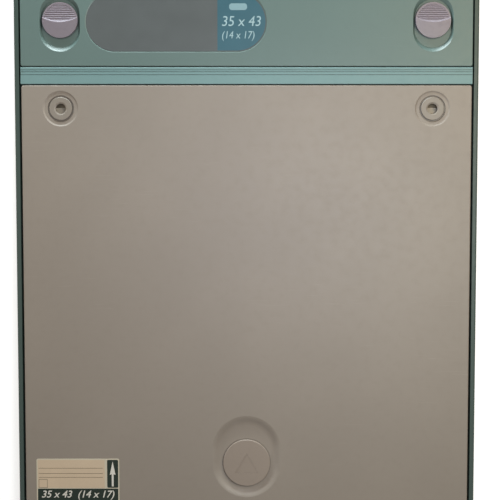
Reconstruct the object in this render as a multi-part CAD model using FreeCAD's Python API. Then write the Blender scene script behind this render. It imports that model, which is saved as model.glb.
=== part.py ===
import FreeCAD, Part
import math
import os

# Cassette for a 35 x 43 cm imaging plate, in millimetres.
# X runs across the cassette, Y from the hinge edge to the locked edge and Z up
# through the hinged back, with the tube side lying at Z = 0.

V = FreeCAD.Vector
LEFT_AND_RIGHT = (("left", -1), ("right", 1))

# The imaging plate, which sets the size of everything around it
plate_width = 354.0
plate_length = 430.0
plate_thickness = 0.8
plate_corner_radius = 4.0
plate_gap = 2.0

# Frame moulding
cassette_height = 15.0
rim_corner_radius = 9.0
rim_width = 4.0
rim_edge_radius = 1.7
rim_foot_radius = 1.2
ledge_width = 9.0
well_corner_radius = 2.0
pocket_corner_radius = 3.0

# Liner and tube side panel
liner_thickness = 0.6
liner_clearance = 0.4
panel_thickness = 1.5
panel_recess = 0.3
panel_overlap = 5.0
panel_corner_radius = 4.0
panel_clearance = 0.2

# Layers of the back, from the skin down
lid_sink = 0.6
skin_thickness = 1.4
knob_recess_depth = 2.8
recess_floor_thickness = 1.2
slide_headroom = 0.7
slide_thickness = 1.2
slide_clearance = 0.3
inner_plate_thickness = 1.0
foil_thickness = 0.2
foam_gap = 0.2
pad_margin = 0.5
seal_gap = 0.1
seal_thickness = 0.5
seal_width = 3.2
seal_wall_gap = 0.8

# Edges of the back
lid_side_gap = 1.0
lid_top_gap = 1.0
cover_side_gap = 1.5
lid_hinge_gap = 1.5
lid_corner_radius = 2.0
lid_edge_radius = 0.9
lid_wall = 1.6
inner_plate_inset = 1.0
wall_headroom = 0.4

# Lock housing and its round knobs
lock_from_side = 32.5
knob_from_lid_top = 34.0
knob_radius = 14.6
knob_travel = 7.5
knob_side_gap = 0.5
knob_head_slack = 2.7
knob_foot_slack = 0.3
knob_floor_gap = 0.3
knob_proud = 0.5
knob_edge_radius = 0.5
knob_boss_radius = 5.0
knob_slot_gap = 0.3
recess_side_slope = 1.6
recess_end_slope = 3.6
housing_margin = 12.1

# Curved crest, thumb rest and grip grooves of each round knob
crest_radius = 29.5
crest_below_centre = 2.1
crest_width = 0.6
crest_slope = 1.4
crest_foot_radius = 38.8
scoop_depth = 1.5
groove_margin = 1.3
groove_crest_gap = 0.2
thumb_groove_rise = 0.76
thumb_groove_pitch = 1.76
thumb_groove_width = 1.3
thumb_groove_depth = 0.6
apron_drop = 1.0

# Ribbed band
band_length = 13.9
housing_band_gap = 0.6
band_cover_gap = 0.9
band_groove_width = 0.55
band_groove_depth = 0.45
band_groove_places = (2.2, 3.8, 6.2)

# Name plate, inlaid in the lock housing
name_plate_height = 48.2
name_plate_length = 148.9
name_plate_from_side = 54.5
name_plate_from_lid_top = 35.7
name_plate_pocket = 0.5
name_plate_thickness = 0.35
name_plate_clearance = 0.15
name_plate_bevel = 0.8
name_plate_bevel_depth = 0.35

# Slide plates and their bolts
slide_width = 18.0
slide_shoulder_drop = 21.0
bolt_width = 12.0
bolt_reach = 2.2
bolt_bevel_length = 1.5
bolt_bevel_share = 0.65
slide_side_gap = 0.3
guide_width = 2.5
guide_rise = 0.5
guide_inset = 4.0

# Guide collars, with the ramp that a reader's pin meets below them
collar_from_cover_edge = 19.2
collar_radius = 9.5
collar_seat_radius = 10.7
collar_dish_radius = 14.7
collar_dish_slope = 1.3
collar_dish_depth = 0.7
collar_lip_bevel = 0.45
collar_sink = 0.1
collar_plate_thickness = 1.5
collar_edge_radius = 0.4
collar_neck_radius = 7.2
collar_neck_gap = 0.2
collar_neck_length = 1.5
collar_bore_radius = 4.2
collar_countersink = 1.2
collar_countersink_depth = 0.5
seat_wall = 1.4
seat_floor_thickness = 0.8
clip_thickness = 0.4
clip_outer_radius = 9.2
clip_groove_depth = 0.5
clip_seat_gap = 0.05
clip_split = 3.0
ramp_rise = 1.2
ramp_top_length = 3.8
ramp_top_end = 4.2
ramp_foot_end = 1.0
window_end = 11.7
window_half_width = 5.0

# Springs
lock_spring_length = 22.0
lock_tail_drop = 16.7
release_spring_length = 28.0
spring_radius = 1.6
spring_wire = 0.7
spring_turns = 7
spring_steps_per_turn = 12
spring_end_gap = 0.15
spring_tab_thickness = 2.0
spring_tab_clearance = 0.4
spring_stop_thickness = 3.0
spring_tab_half_width = 5.0

# Hinge release
release_from_lid_foot = 45.4
release_radius = 19.9
release_travel = 10.0
release_side_gap = 0.8
release_foot_slack = 1.2
release_head_slack = 2.2
release_recess_depth = 2.4
release_slope = 9.0
release_proud = 0.2
release_sink = 0.2
release_edge_radius = 0.7
release_boss_radius = 6.0
arrow_width = 19.4
arrow_height = 17.0
arrow_base_drop = 8.5
arrow_depth = 0.25
dish_lip = 0.05
stem_half_width = 12.0
stem_beyond_recess = 3.3
crossbar_half_width = 40.0
crossbar_margin = 1.0
release_guide_inset = 5.0

# Hinge rods and their bushes
rod_radius = 1.4
rod_clearance = 0.2
rod_retract = 5.0
rod_end_in_rim = 2.0
stud_radius = 1.4
stud_clearance = 0.2
stud_spacing = 64.0
arm_half_width = 2.0
arm_lift = 0.2
arm_thickness = 1.2
arm_pocket_gap = 0.5
bush_outer_radius = 2.6
bush_clearance = 0.1
bush_length = 2.6
bush_bottom_gap = 0.2
hinge_lip = 1.2
hinge_lip_inset = 8.9
hinge_bar_depth = 10.5
plate_groove_inset = 7.1
plate_groove_gap = 0.2
trough_clearance = 0.5
trough_front_gap = 1.2

# Strike plates in the locked edge of the frame
strike_width = 30.0
strike_height = 5.0
strike_thickness = 1.0
strike_gap = 0.5
strike_edge_rise = 0.8
strike_pocket_depth = 1.8
strike_screw_inset = 3.6
strike_screw_radius = 0.8
strike_screw_head_radius = 1.5
strike_screw_length = 2.8

# Screws and ribs inside the back
screw_radius = 1.1
screw_head_radius = 2.2
screw_grip = 4.0
screw_boss_radius = 2.8
screw_edge_distance = 4.0
screw_pilot_gap = 0.2
top_screw_share = 0.43
housing_screw_margin = 7.0
cover_screw_shares = (0.07, 0.36, 0.64, 0.93)
knob_screw_radius = 1.2
knob_screw_head_radius = 2.6
knob_screw_head_height = 0.9
knob_screw_grip = 2.4
rib_thickness = 1.2
rib_shares = (-0.79, -0.395, 0, 0.395, 0.79)
cross_rib_shares = (0.16, 0.36, 0.56, 0.76)
rib_end_gap = 4.0
bay_clearance = 4.0

# Paper label in the corner of the back cover
label_width = 69.9
label_height = 39.0
label_from_side = 9.1
label_from_foot = 10.2
label_thickness = 0.12
label_corner_radius = 1.5

# How far a cutting tool passes the face that it opens, and how level an edge has to lie
cut_overrun = 1.0
edge_tolerance = 0.01

# Places worked out from the sizes above: plan
pocket_half_width = plate_width / 2 + plate_gap
pocket_half_length = plate_length / 2 + plate_gap
well_half_width = pocket_half_width + ledge_width
well_half_length = pocket_half_length + ledge_width
half_width = well_half_width + rim_width
half_length = well_half_length + rim_width
panel_half_width = pocket_half_width + panel_overlap
panel_half_length = pocket_half_length + panel_overlap
lid_half_width = well_half_width - lid_side_gap
cover_half_width = well_half_width - cover_side_gap
lid_head_y = well_half_length - lid_top_gap
lid_foot_y = lid_hinge_gap - well_half_length
pad_half_width = plate_width / 2 - pad_margin
pad_half_length = plate_length / 2 - pad_margin

# Places worked out from the sizes above: height
lid_top = cassette_height - lid_sink
skin_under = lid_top - skin_thickness
knob_floor = lid_top - knob_recess_depth
knob_floor_under = knob_floor - recess_floor_thickness
slide_top = knob_floor_under - slide_headroom
slide_low = slide_top - slide_thickness
inner_plate_top = slide_low - slide_clearance
inner_plate_under = inner_plate_top - inner_plate_thickness
foil_under = inner_plate_under - foil_thickness
wall_under = slide_top + wall_headroom
ledge_top = inner_plate_under - seal_gap - seal_thickness
panel_top = panel_recess + panel_thickness
liner_top = panel_top + liner_thickness
plate_top = liner_top + plate_thickness
foam_under = plate_top + foam_gap
cavity_height = skin_under - inner_plate_top

# Hinge line
hinge_under = inner_plate_under - hinge_lip
hinge_radius = (lid_top - hinge_under) / 2
hinge_z = lid_top - hinge_radius
hinge_y = lid_foot_y + hinge_radius
hinge_bar_front = lid_foot_y + hinge_bar_depth
hinge_lip_front = lid_foot_y + hinge_lip_inset
plate_groove_y = lid_foot_y + plate_groove_inset
trough_floor = hinge_under - trough_clearance

# Knobs and lock housing
lock_x = cover_half_width - lock_from_side
knob_y = lid_head_y - knob_from_lid_top
knob_low = knob_floor + knob_floor_gap
knob_top = lid_top + knob_proud
knob_scoop = knob_top - scoop_depth
recess_floor_radius = knob_radius + knob_side_gap
recess_rim_radius = recess_floor_radius + recess_side_slope
recess_floor_low = knob_y - knob_travel - knob_radius - knob_foot_slack
recess_floor_high = knob_y + knob_radius + knob_head_slack
recess_rim_low = recess_floor_low - recess_end_slope
recess_rim_high = recess_floor_high + recess_end_slope
housing_low_y = recess_rim_low - housing_margin
band_high_y = housing_low_y - housing_band_gap
band_low_y = band_high_y - band_length
cover_high_y = band_low_y - band_cover_gap

# Collars, slides and springs
collar_y = cover_high_y - collar_from_cover_edge
collar_top = lid_top - collar_sink
collar_seat = collar_top - collar_plate_thickness
collar_foot = collar_seat - collar_neck_length
seat_under = collar_seat - seat_floor_thickness
bolt_tip_y = well_half_length + bolt_reach
ramp_top = slide_top + ramp_rise
tail_tab_y = collar_y - lock_tail_drop
tab_top = skin_under - spring_tab_clearance
spring_z = slide_low + cavity_height / 2

# Hinge release
release_y = lid_foot_y + release_from_lid_foot
release_floor = lid_top - release_recess_depth
release_floor_under = release_floor - recess_floor_thickness
release_low = release_floor + release_sink
release_top = lid_top - release_proud
release_floor_radius = release_radius + release_side_gap
release_floor_low = release_y - release_radius - release_foot_slack
release_floor_high = release_y + release_radius + release_travel + release_head_slack
release_rim_radius = release_floor_radius + release_slope
release_tab_y = release_floor_high + release_slope + stem_beyond_recess
crossbar_low = hinge_bar_front + arm_pocket_gap
stud_foot_y = crossbar_low + crossbar_margin + stud_radius + stud_clearance
stud_y = stud_foot_y + release_travel
crossbar_high = stud_y + stud_radius + stud_clearance + crossbar_margin
stud_x = stud_spacing / 2
arm_low = slide_top + arm_lift
arm_high = arm_low + arm_thickness
rod_tip_x = well_half_width + rod_end_in_rim


def block(x0, x1, y0, y1, z0, z1):
    """A block between two opposite corners."""
    return Part.makeBox(x1 - x0, y1 - y0, z1 - z0, V(x0, y0, z0))


def is_upright(edge):
    """True for a straight edge that runs along Z."""
    first, last = edge.Vertexes[0], edge.Vertexes[-1]
    return math.hypot(last.X - first.X, last.Y - first.Y) < edge.Length / 2


def rounded_block(x0, x1, y0, y1, z0, z1, radius):
    """A block whose four upright edges are rounded."""
    body = block(x0, x1, y0, y1, z0, z1)
    return body.makeFillet(radius, [edge for edge in body.Edges if is_upright(edge)])


def lies_at(edge, level):
    """True for an edge that lies flat at one height."""
    box = edge.BoundBox
    return max(abs(box.ZMin - level), abs(box.ZMax - level)) < edge_tolerance


def edges_at(body, level):
    """The edges of a body that lie flat at one height."""
    return [edge for edge in body.Edges if lies_at(edge, level)]


def post(x, y, radius, z0, z1):
    """An upright cylinder."""
    return Part.makeCylinder(radius, z1 - z0, V(x, y, z0))


def bar_along_x(x0, x1, y, z, radius):
    """A cylinder along X."""
    return Part.makeCylinder(radius, x1 - x0, V(x0, y, z), V(1, 0, 0))


def slot_wire(start, end, radius, level):
    """The outline of a round ended slot between two centres given as (x, y)."""
    run = math.hypot(end[0] - start[0], end[1] - start[1])
    along = V((end[0] - start[0]) / run, (end[1] - start[1]) / run, 0) * radius
    across = V(-along.y, along.x, 0)
    a = V(start[0], start[1], level)
    b = V(end[0], end[1], level)
    edges = [Part.LineSegment(a - across, b - across),
             Part.Arc(b - across, b + along, b + across),
             Part.LineSegment(b + across, a + across),
             Part.Arc(a + across, a - along, a - across)]
    return Part.Wire([edge.toShape() for edge in edges])


def slot(start, end, radius, z0, z1):
    """A round ended slot or bar as a solid."""
    return Part.Face(slot_wire(start, end, radius, z0)).extrude(V(0, 0, z1 - z0))


def pan(rim, floor, rim_level, floor_level):
    """A tapered recess between two slots, each a (start, end, radius)."""
    wires = [slot_wire(*rim, rim_level), slot_wire(*floor, floor_level)]
    return Part.makeLoft(wires, True, True)


def prism_along_x(points, x0, x1):
    """A profile of (y, z) points drawn out along X."""
    corners = [V(x0, y, z) for y, z in points]
    return Part.Face(Part.makePolygon(corners + corners[:1])).extrude(V(x1 - x0, 0, 0))


def plate_from(points, z0, z1):
    """An outline of (x, y) points as a flat plate."""
    corners = [V(x, y, z0) for x, y in points]
    return Part.Face(Part.makePolygon(corners + corners[:1])).extrude(V(0, 0, z1 - z0))


def turned(x, y, points):
    """A profile of (radius, height) points turned about an upright axis."""
    corners = [V(x + radius, y, height) for radius, height in points]
    profile = Part.Face(Part.makePolygon(corners + corners[:1]))
    return profile.revolve(V(x, y, 0), V(0, 0, 1), 360)


def fused(parts):
    """One solid out of several that touch or overlap."""
    return parts[0].fuse(parts[1:]).removeSplitter()


def soft_dish(y0, y1, rim_radius, floor_radius, rim_level, floor_level):
    """A round ended dish on X = 0 whose wall is an S of two equal arcs."""
    rise = rim_level + dish_lip - floor_level
    spread = rim_radius - floor_radius
    bend = (spread * spread + rise * rise) / (4 * rise)
    half_turn = math.asin(spread / (2 * bend)) / 2
    swing = bend * math.sin(half_turn)
    lift = bend * (1 - math.cos(half_turn))
    lip_level = rim_level + dish_lip
    middle = V((rim_radius + floor_radius) / 2, y0, floor_level + rise / 2)
    foot = V(floor_radius, y0, floor_level)
    lip = V(rim_radius, y0, lip_level)
    lower = Part.Arc(foot, V(floor_radius + swing, y0, floor_level + lift), middle)
    upper = Part.Arc(middle, V(rim_radius - swing, y0, lip_level - lift), lip)
    axis_foot = V(0, y0, floor_level)
    axis_head = V(0, y0, lip_level + cut_overrun)
    outer_head = V(rim_radius, y0, lip_level + cut_overrun)
    lines = [Part.LineSegment(axis_foot, foot), lower, upper,
             Part.LineSegment(lip, outer_head), Part.LineSegment(outer_head, axis_head),
             Part.LineSegment(axis_head, axis_foot)]
    half = Part.Face(Part.Wire([line.toShape() for line in lines]))
    straight = half.extrude(V(0, y1 - y0, 0))
    ends = half.revolve(V(0, y0, 0), V(0, 0, 1), 360)
    far_ends = ends.translated(V(0, y1 - y0, 0))
    mirrored = straight.mirror(V(0, 0, 0), V(1, 0, 0))
    return fused([straight, mirrored, ends, far_ends])


def knob_recess(side, grow, drop):
    """The tapered recess of one knob, made larger and lower for its outer wall."""
    x = side * lock_x
    rim_radius = recess_rim_radius + grow
    floor_radius = recess_floor_radius + grow
    rim = ((x, recess_rim_low + recess_rim_radius), (x, recess_rim_high - recess_rim_radius))
    floor = ((x, recess_floor_low + recess_floor_radius),
             (x, recess_floor_high - recess_floor_radius))
    return pan((*rim, rim_radius), (*floor, floor_radius), lid_top - drop, knob_floor - drop)


def release_dish(grow, drop):
    """The soft dish of the hinge release, made larger and lower for its outer wall."""
    low = release_floor_low + release_floor_radius
    high = release_floor_high - release_floor_radius
    return soft_dish(low, high, release_rim_radius + grow, release_floor_radius + grow,
                     lid_top - drop, release_floor - drop)


def screw_rows():
    """Places of the screws that hold the outer parts to the inner plate."""
    side_x = cover_half_width - screw_edge_distance
    cover_run = cover_high_y - lid_foot_y
    cover = [(side * side_x, lid_foot_y + share * cover_run)
             for share in cover_screw_shares for _, side in LEFT_AND_RIGHT]
    band = [(side * side_x, band_low_y + band_length / 2) for _, side in LEFT_AND_RIGHT]
    housing_y = (housing_low_y + housing_screw_margin, lid_head_y - housing_screw_margin)
    housing = [(side * side_x, y) for y in housing_y for _, side in LEFT_AND_RIGHT]
    top_y = lid_head_y - screw_edge_distance - screw_radius
    housing += [(step * top_screw_share * lid_half_width, top_y) for step in (-1, 0, 1)]
    return {"cover": cover, "band": band, "housing": housing}


def boss_and_pilot(places):
    """Screw bosses under the skin, and the pilot holes to cut in them."""
    pilot_top = inner_plate_top + screw_grip + screw_pilot_gap
    bosses = [post(x, y, screw_boss_radius, inner_plate_top, skin_under) for x, y in places]
    pilots = [post(x, y, screw_radius, inner_plate_top - cut_overrun, pilot_top)
              for x, y in places]
    return bosses, pilots


def front_frame():
    """Rim moulding with its ledge, plate pocket, panel rebate and hinge trough."""
    body = rounded_block(-half_width, half_width, -half_length, half_length,
                         0, cassette_height, rim_corner_radius)
    body = body.makeFillet(rim_edge_radius, edges_at(body, cassette_height))
    body = body.makeFillet(rim_foot_radius, edges_at(body, 0))
    well = rounded_block(-well_half_width, well_half_width, -well_half_length, well_half_length,
                         ledge_top, cassette_height + cut_overrun, well_corner_radius)
    pocket = rounded_block(-pocket_half_width, pocket_half_width,
                           -pocket_half_length, pocket_half_length,
                           0, ledge_top + cut_overrun, pocket_corner_radius)
    rebate_x = panel_half_width + panel_clearance
    rebate_y = panel_half_length + panel_clearance
    rebate = rounded_block(-rebate_x, rebate_x, -rebate_y, rebate_y,
                           -cut_overrun, panel_top, panel_corner_radius)
    trough = block(-well_half_width, well_half_width, -well_half_length,
                   hinge_lip_front + trough_front_gap, trough_floor, ledge_top + cut_overrun)
    cuts = [well, pocket, rebate, trough]
    strike_low, strike_high = strike_span()
    for _, side in LEFT_AND_RIGHT:
        x = side * lock_x
        cuts.append(block(x - strike_width / 2, x + strike_width / 2,
                          well_half_length - cut_overrun, well_half_length + strike_thickness,
                          strike_low, strike_high))
        cuts.append(bolt_window(x, well_half_length + strike_thickness + strike_pocket_depth))
        wall = side * well_half_width
        hole = bush_length + bush_bottom_gap
        low, high = sorted((wall - side * cut_overrun, wall + side * hole))
        cuts.append(bar_along_x(low, high, hinge_y, hinge_z, bush_outer_radius))
    cuts += [strike_screw(x, z) for x, z in strike_screw_places()]
    return body.cut(cuts)


def strike_span():
    """Lower and upper edge of a strike plate."""
    low = ledge_top + strike_edge_rise
    return low, low + strike_height


def bolt_window(x, depth_y):
    """The window that a bolt enters, from the well to a given depth."""
    reach = bolt_width / 2 + strike_gap
    return block(x - reach, x + reach, well_half_length - cut_overrun, depth_y,
                 slide_low - strike_gap, slide_top + strike_gap)


def strike_screw_places():
    """Places (x, z) of the screws of both strike plates."""
    low, high = strike_span()
    offset = strike_width / 2 - strike_screw_inset
    return [(side * lock_x + step * offset, (low + high) / 2)
            for _, side in LEFT_AND_RIGHT for step in (-1, 1)]


def strike_screw(x, z):
    """One countersunk screw that runs along Y into the rim."""
    head_depth = strike_screw_head_radius - strike_screw_radius
    start = V(x, well_half_length, z)
    head = Part.makeCone(strike_screw_head_radius, strike_screw_radius, head_depth,
                         start, V(0, 1, 0))
    shank = Part.makeCylinder(strike_screw_radius, strike_screw_length, start, V(0, 1, 0))
    return fused([head, shank])


def strike_plate(side):
    """Steel plate let into the rim, with the window that catches a bolt."""
    x = side * lock_x
    low, high = strike_span()
    plate = block(x - strike_width / 2, x + strike_width / 2, well_half_length,
                  well_half_length + strike_thickness, low, high)
    cuts = [bolt_window(x, well_half_length + strike_thickness + cut_overrun)]
    cuts += [strike_screw(place, z) for place, z in strike_screw_places()]
    return plate.cut(cuts)


def hinge_bush(side):
    """Plain bush in the side rim that carries one hinge rod."""
    wall = side * well_half_width
    low, high = sorted((wall, wall + side * bush_length))
    outer = bar_along_x(low, high, hinge_y, hinge_z, bush_outer_radius)
    bore = bar_along_x(low, high, hinge_y, hinge_z, rod_radius + bush_clearance)
    return outer.cut(bore)


def light_seal():
    """Felt strip on the ledge along the two sides and the locked edge."""
    outer_x = well_half_width - seal_wall_gap
    outer_y = well_half_length - seal_wall_gap
    inner_x = outer_x - seal_width
    foot_y = -pocket_half_length + ledge_width / 2
    top = ledge_top + seal_thickness
    outer = block(-outer_x, outer_x, foot_y, outer_y, ledge_top, top)
    inner = block(-inner_x, inner_x, foot_y, outer_y - seal_width, ledge_top, top)
    return outer.cut(inner)


def lid_inner_plate():
    """Aluminium plate that carries the pads below and the locks above."""
    edge_x = cover_half_width - inner_plate_inset / 2
    plate = rounded_block(-edge_x, edge_x, plate_groove_y + plate_groove_gap,
                          lid_head_y - inner_plate_inset,
                          inner_plate_under, inner_plate_top, lid_corner_radius)
    places = [place for row in screw_rows().values() for place in row]
    return plate.cut([lid_screw(x, y) for x, y in places])


def lid_screw(x, y):
    """One countersunk screw, its head flush with the inner plate's underside."""
    head_depth = min(screw_head_radius - screw_radius, inner_plate_thickness)
    start = V(x, y, inner_plate_under)
    head = Part.makeCone(screw_head_radius, screw_radius, head_depth, start)
    shank = post(x, y, screw_radius, inner_plate_under, inner_plate_top + screw_grip)
    return fused([head, shank])


def lock_housing():
    """Teal shell over the locks, with two knob recesses and the name plate pocket."""
    shell = rounded_block(-lid_half_width, lid_half_width, housing_low_y, lid_head_y,
                          inner_plate_top, lid_top, lid_corner_radius)
    shell = shell.makeFillet(lid_edge_radius, edges_at(shell, lid_top))
    inner_x = lid_half_width - lid_wall
    inside = block(-inner_x, inner_x, housing_low_y + lid_wall, lid_head_y - lid_wall,
                   inner_plate_top - cut_overrun, skin_under)
    underpass = block(-inner_x, inner_x, housing_low_y - cut_overrun,
                      housing_low_y + lid_wall + cut_overrun,
                      inner_plate_top - cut_overrun, wall_under)
    shell = shell.cut([inside, underpass])
    bosses, pilots = boss_and_pilot(screw_rows()["housing"])
    basins = [knob_recess(side, recess_floor_thickness, recess_floor_thickness)
              for _, side in LEFT_AND_RIGHT]
    shell = fused([shell] + basins + bosses)
    cuts = pilots + [name_plate_pocket_cut()]
    for _, side in LEFT_AND_RIGHT:
        x = side * lock_x
        cuts.append(knob_recess(side, 0, 0))
        cuts.append(slot((x, knob_y), (x, knob_y - knob_travel),
                         knob_boss_radius + knob_slot_gap,
                         knob_floor_under - cut_overrun, knob_floor + cut_overrun))
        reach = bolt_width / 2 + slide_side_gap
        cuts.append(block(x - reach, x + reach, lid_head_y - lid_wall - cut_overrun,
                          lid_head_y + cut_overrun, slide_low - slide_clearance,
                          slide_top + slide_clearance))
    return shell.cut(cuts)


def name_plate_outline(inset):
    """Centres and radius of the name plate's round ended outline."""
    radius = name_plate_height / 2
    y = lid_head_y - name_plate_from_lid_top
    left_end = name_plate_from_side - lid_half_width
    start = (left_end + radius, y)
    end = (left_end + name_plate_length - radius, y)
    return start, end, radius - inset


def name_plate_shape(inset, z0, z1):
    """The name plate's outline as a solid."""
    return slot(*name_plate_outline(inset), z0, z1)


def name_plate_pocket_cut():
    """The shallow pocket with a bevelled rim that holds the name plate."""
    pocket = name_plate_shape(0, lid_top - name_plate_pocket, lid_top + cut_overrun)
    bevel = pan(name_plate_outline(-name_plate_bevel), name_plate_outline(0),
                lid_top, lid_top - name_plate_bevel_depth)
    return pocket.fuse(bevel)


def name_plate():
    """Printed film inlaid in the lock housing."""
    floor = lid_top - name_plate_pocket
    return name_plate_shape(name_plate_clearance, floor, floor + name_plate_thickness)


def ribbed_band():
    """Grooved strip between the lock housing and the back cover."""
    band = block(-lid_half_width, lid_half_width, band_low_y, band_high_y,
                 inner_plate_top, lid_top)
    band = band.makeFillet(lid_edge_radius / 2, edges_at(band, lid_top))
    inner_x = lid_half_width - lid_wall
    inside = block(-inner_x, inner_x, band_low_y + lid_wall, band_high_y - lid_wall,
                   inner_plate_top - cut_overrun, skin_under)
    underpass = block(-inner_x, inner_x, band_low_y - cut_overrun, band_high_y + cut_overrun,
                      inner_plate_top - cut_overrun, wall_under)
    bosses, pilots = boss_and_pilot(screw_rows()["band"])
    grooves = [block(-lid_half_width - cut_overrun, lid_half_width + cut_overrun,
                     band_high_y - place - band_groove_width / 2,
                     band_high_y - place + band_groove_width / 2,
                     lid_top - band_groove_depth, lid_top + cut_overrun)
               for place in band_groove_places]
    return fused([band.cut([inside, underpass])] + bosses).cut(pilots + grooves)


def hinge_bar():
    """Thick rounded edge of the back cover that turns about the hinge rods."""
    nose = bar_along_x(-cover_half_width, cover_half_width, hinge_y, hinge_z, hinge_radius)
    upper = block(-cover_half_width, cover_half_width, hinge_y, hinge_bar_front,
                  inner_plate_top, lid_top)
    lower = block(-cover_half_width, cover_half_width, hinge_y, hinge_lip_front,
                  hinge_under, inner_plate_under)
    back = block(-cover_half_width, cover_half_width, hinge_y, plate_groove_y,
                 inner_plate_under, inner_plate_top)
    return [nose, upper, lower, back]


def plate_groove():
    """Groove along the hinge bar that takes the inner plate's edge."""
    reach = cover_half_width + cut_overrun
    return block(-reach, reach, plate_groove_y, hinge_bar_front,
                 inner_plate_under, inner_plate_top)


def rod_channel(side):
    """Bore and crank pocket for one hinge rod in the hinge bar."""
    outer = side * (cover_half_width + cut_overrun)
    inner = side * (stud_x - rod_retract)
    low, high = sorted((outer, inner))
    bore = bar_along_x(low, high, hinge_y, hinge_z, rod_radius + rod_clearance)
    pocket_outer = side * (stud_x + arm_half_width + arm_pocket_gap)
    pocket_inner = side * (stud_x - rod_retract - arm_half_width - arm_pocket_gap)
    low, high = sorted((pocket_outer, pocket_inner))
    pocket = block(low, high, hinge_y - arm_half_width - arm_pocket_gap,
                   hinge_bar_front + cut_overrun, hinge_z - rod_radius - rod_clearance,
                   hinge_z + rod_radius + rod_clearance)
    return [bore, pocket]


def cover_ribs():
    """Stiffening ribs under the skin, kept clear of the slides and the release."""
    low_y = hinge_bar_front
    high_y = collar_y - clip_outer_radius - rib_end_gap
    run = high_y - low_y
    inner_x = cover_half_width - lid_wall
    release_bay = crossbar_half_width + bay_clearance
    release_end = release_tab_y + release_spring_length + bay_clearance + spring_stop_thickness
    lock_bay_low = tail_tab_y - lock_spring_length - bay_clearance - spring_stop_thickness
    lock_bay = slide_width / 2 + bay_clearance
    ribs = []
    for share in rib_shares:
        x = share * lock_x
        foot = release_end if abs(x) < release_bay else low_y
        ribs.append(block(x - rib_thickness / 2, x + rib_thickness / 2,
                          foot, high_y, inner_plate_top, skin_under))
    for share in cross_rib_shares:
        y = low_y + share * run
        spans = [(-inner_x, inner_x)]
        if y < release_end:
            spans = [(-inner_x, -release_bay), (release_bay, inner_x)]
        if y > lock_bay_low:
            spans = [(lock_bay - lock_x, lock_x - lock_bay)]
        ribs += [block(x0, x1, y - rib_thickness / 2, y + rib_thickness / 2,
                       inner_plate_top, skin_under) for x0, x1 in spans]
    return ribs


def spring_stop(x, y):
    """Block under the skin that a spring pushes against, its face at y."""
    return block(x - spring_tab_half_width, x + spring_tab_half_width,
                 y, y + spring_stop_thickness, inner_plate_top, skin_under)


def back_cover():
    """Taupe cover with its hinge bar, collar seats, release dish, ribs and bosses."""
    skin = rounded_block(-cover_half_width, cover_half_width, hinge_y - lid_corner_radius,
                         cover_high_y, inner_plate_top, lid_top, lid_corner_radius)
    skin = skin.makeFillet(lid_edge_radius, edges_at(skin, lid_top))
    inner_x = cover_half_width - lid_wall
    foot = block(-cover_half_width - cut_overrun, cover_half_width + cut_overrun,
                 lid_foot_y - cut_overrun, hinge_y, inner_plate_top - cut_overrun,
                 lid_top + cut_overrun)
    inside = block(-inner_x, inner_x, hinge_y - cut_overrun, cover_high_y - lid_wall,
                   inner_plate_top - cut_overrun, skin_under)
    underpass = block(-inner_x, inner_x, cover_high_y - lid_wall - cut_overrun,
                      cover_high_y + cut_overrun, inner_plate_top - cut_overrun, wall_under)
    skin = skin.cut([foot, inside, underpass])
    bosses, pilots = boss_and_pilot(screw_rows()["cover"])
    seats = [post(side * lock_x, collar_y, collar_seat_radius + seat_wall,
                  seat_under, skin_under) for _, side in LEFT_AND_RIGHT]
    stops = [spring_stop(side * lock_x,
                         tail_tab_y - lock_spring_length - spring_stop_thickness)
             for _, side in LEFT_AND_RIGHT]
    stops.append(spring_stop(0, release_tab_y + release_spring_length))
    basin = release_dish(recess_floor_thickness, recess_floor_thickness)
    basin = basin.common(block(-half_width, half_width, -half_length, half_length,
                               0, skin_under))
    body = fused([skin] + hinge_bar() + bosses + seats + stops + [basin] + cover_ribs())
    cuts = pilots + [plate_groove(), release_dish(0, 0)]
    cuts.append(slot((0, release_y), (0, release_y + release_travel),
                     release_boss_radius + knob_slot_gap,
                     release_floor_under - cut_overrun, release_floor + cut_overrun))
    for _, side in LEFT_AND_RIGHT:
        cuts += rod_channel(side)
        cuts.append(collar_seat_cut(side * lock_x))
    return body.cut(cuts)


def collar_seat_cut(x):
    """Round dish, bevelled seat hole and neck hole of one collar seat."""
    dish_floor = lid_top - collar_dish_depth
    dish_floor_radius = collar_dish_radius - collar_dish_slope
    bevel_radius = collar_seat_radius + collar_lip_bevel
    neck = collar_neck_radius + collar_neck_gap
    return turned(x, collar_y, [
        (0, seat_under - cut_overrun), (neck, seat_under - cut_overrun),
        (neck, collar_seat), (collar_seat_radius, collar_seat),
        (collar_seat_radius, dish_floor - collar_lip_bevel), (bevel_radius, dish_floor),
        (dish_floor_radius, dish_floor), (collar_dish_radius, lid_top),
        (collar_dish_radius, lid_top + cut_overrun), (0, lid_top + cut_overrun)])


def guide_collar(x):
    """Flanged bush that leads a reader's pin onto the ramp of the slide."""
    groove_top = seat_under
    groove_low = seat_under - clip_thickness - clip_seat_gap
    groove_radius = collar_neck_radius - clip_groove_depth
    mouth_radius = collar_bore_radius + collar_countersink
    return turned(x, collar_y, [
        (collar_bore_radius, collar_foot), (collar_neck_radius, collar_foot),
        (collar_neck_radius, groove_low), (groove_radius, groove_low),
        (groove_radius, groove_top), (collar_neck_radius, groove_top),
        (collar_neck_radius, collar_seat), (collar_radius, collar_seat),
        (collar_radius, collar_top - collar_edge_radius),
        (collar_radius - collar_edge_radius, collar_top),
        (mouth_radius, collar_top),
        (collar_bore_radius, collar_top - collar_countersink_depth)])


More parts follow.
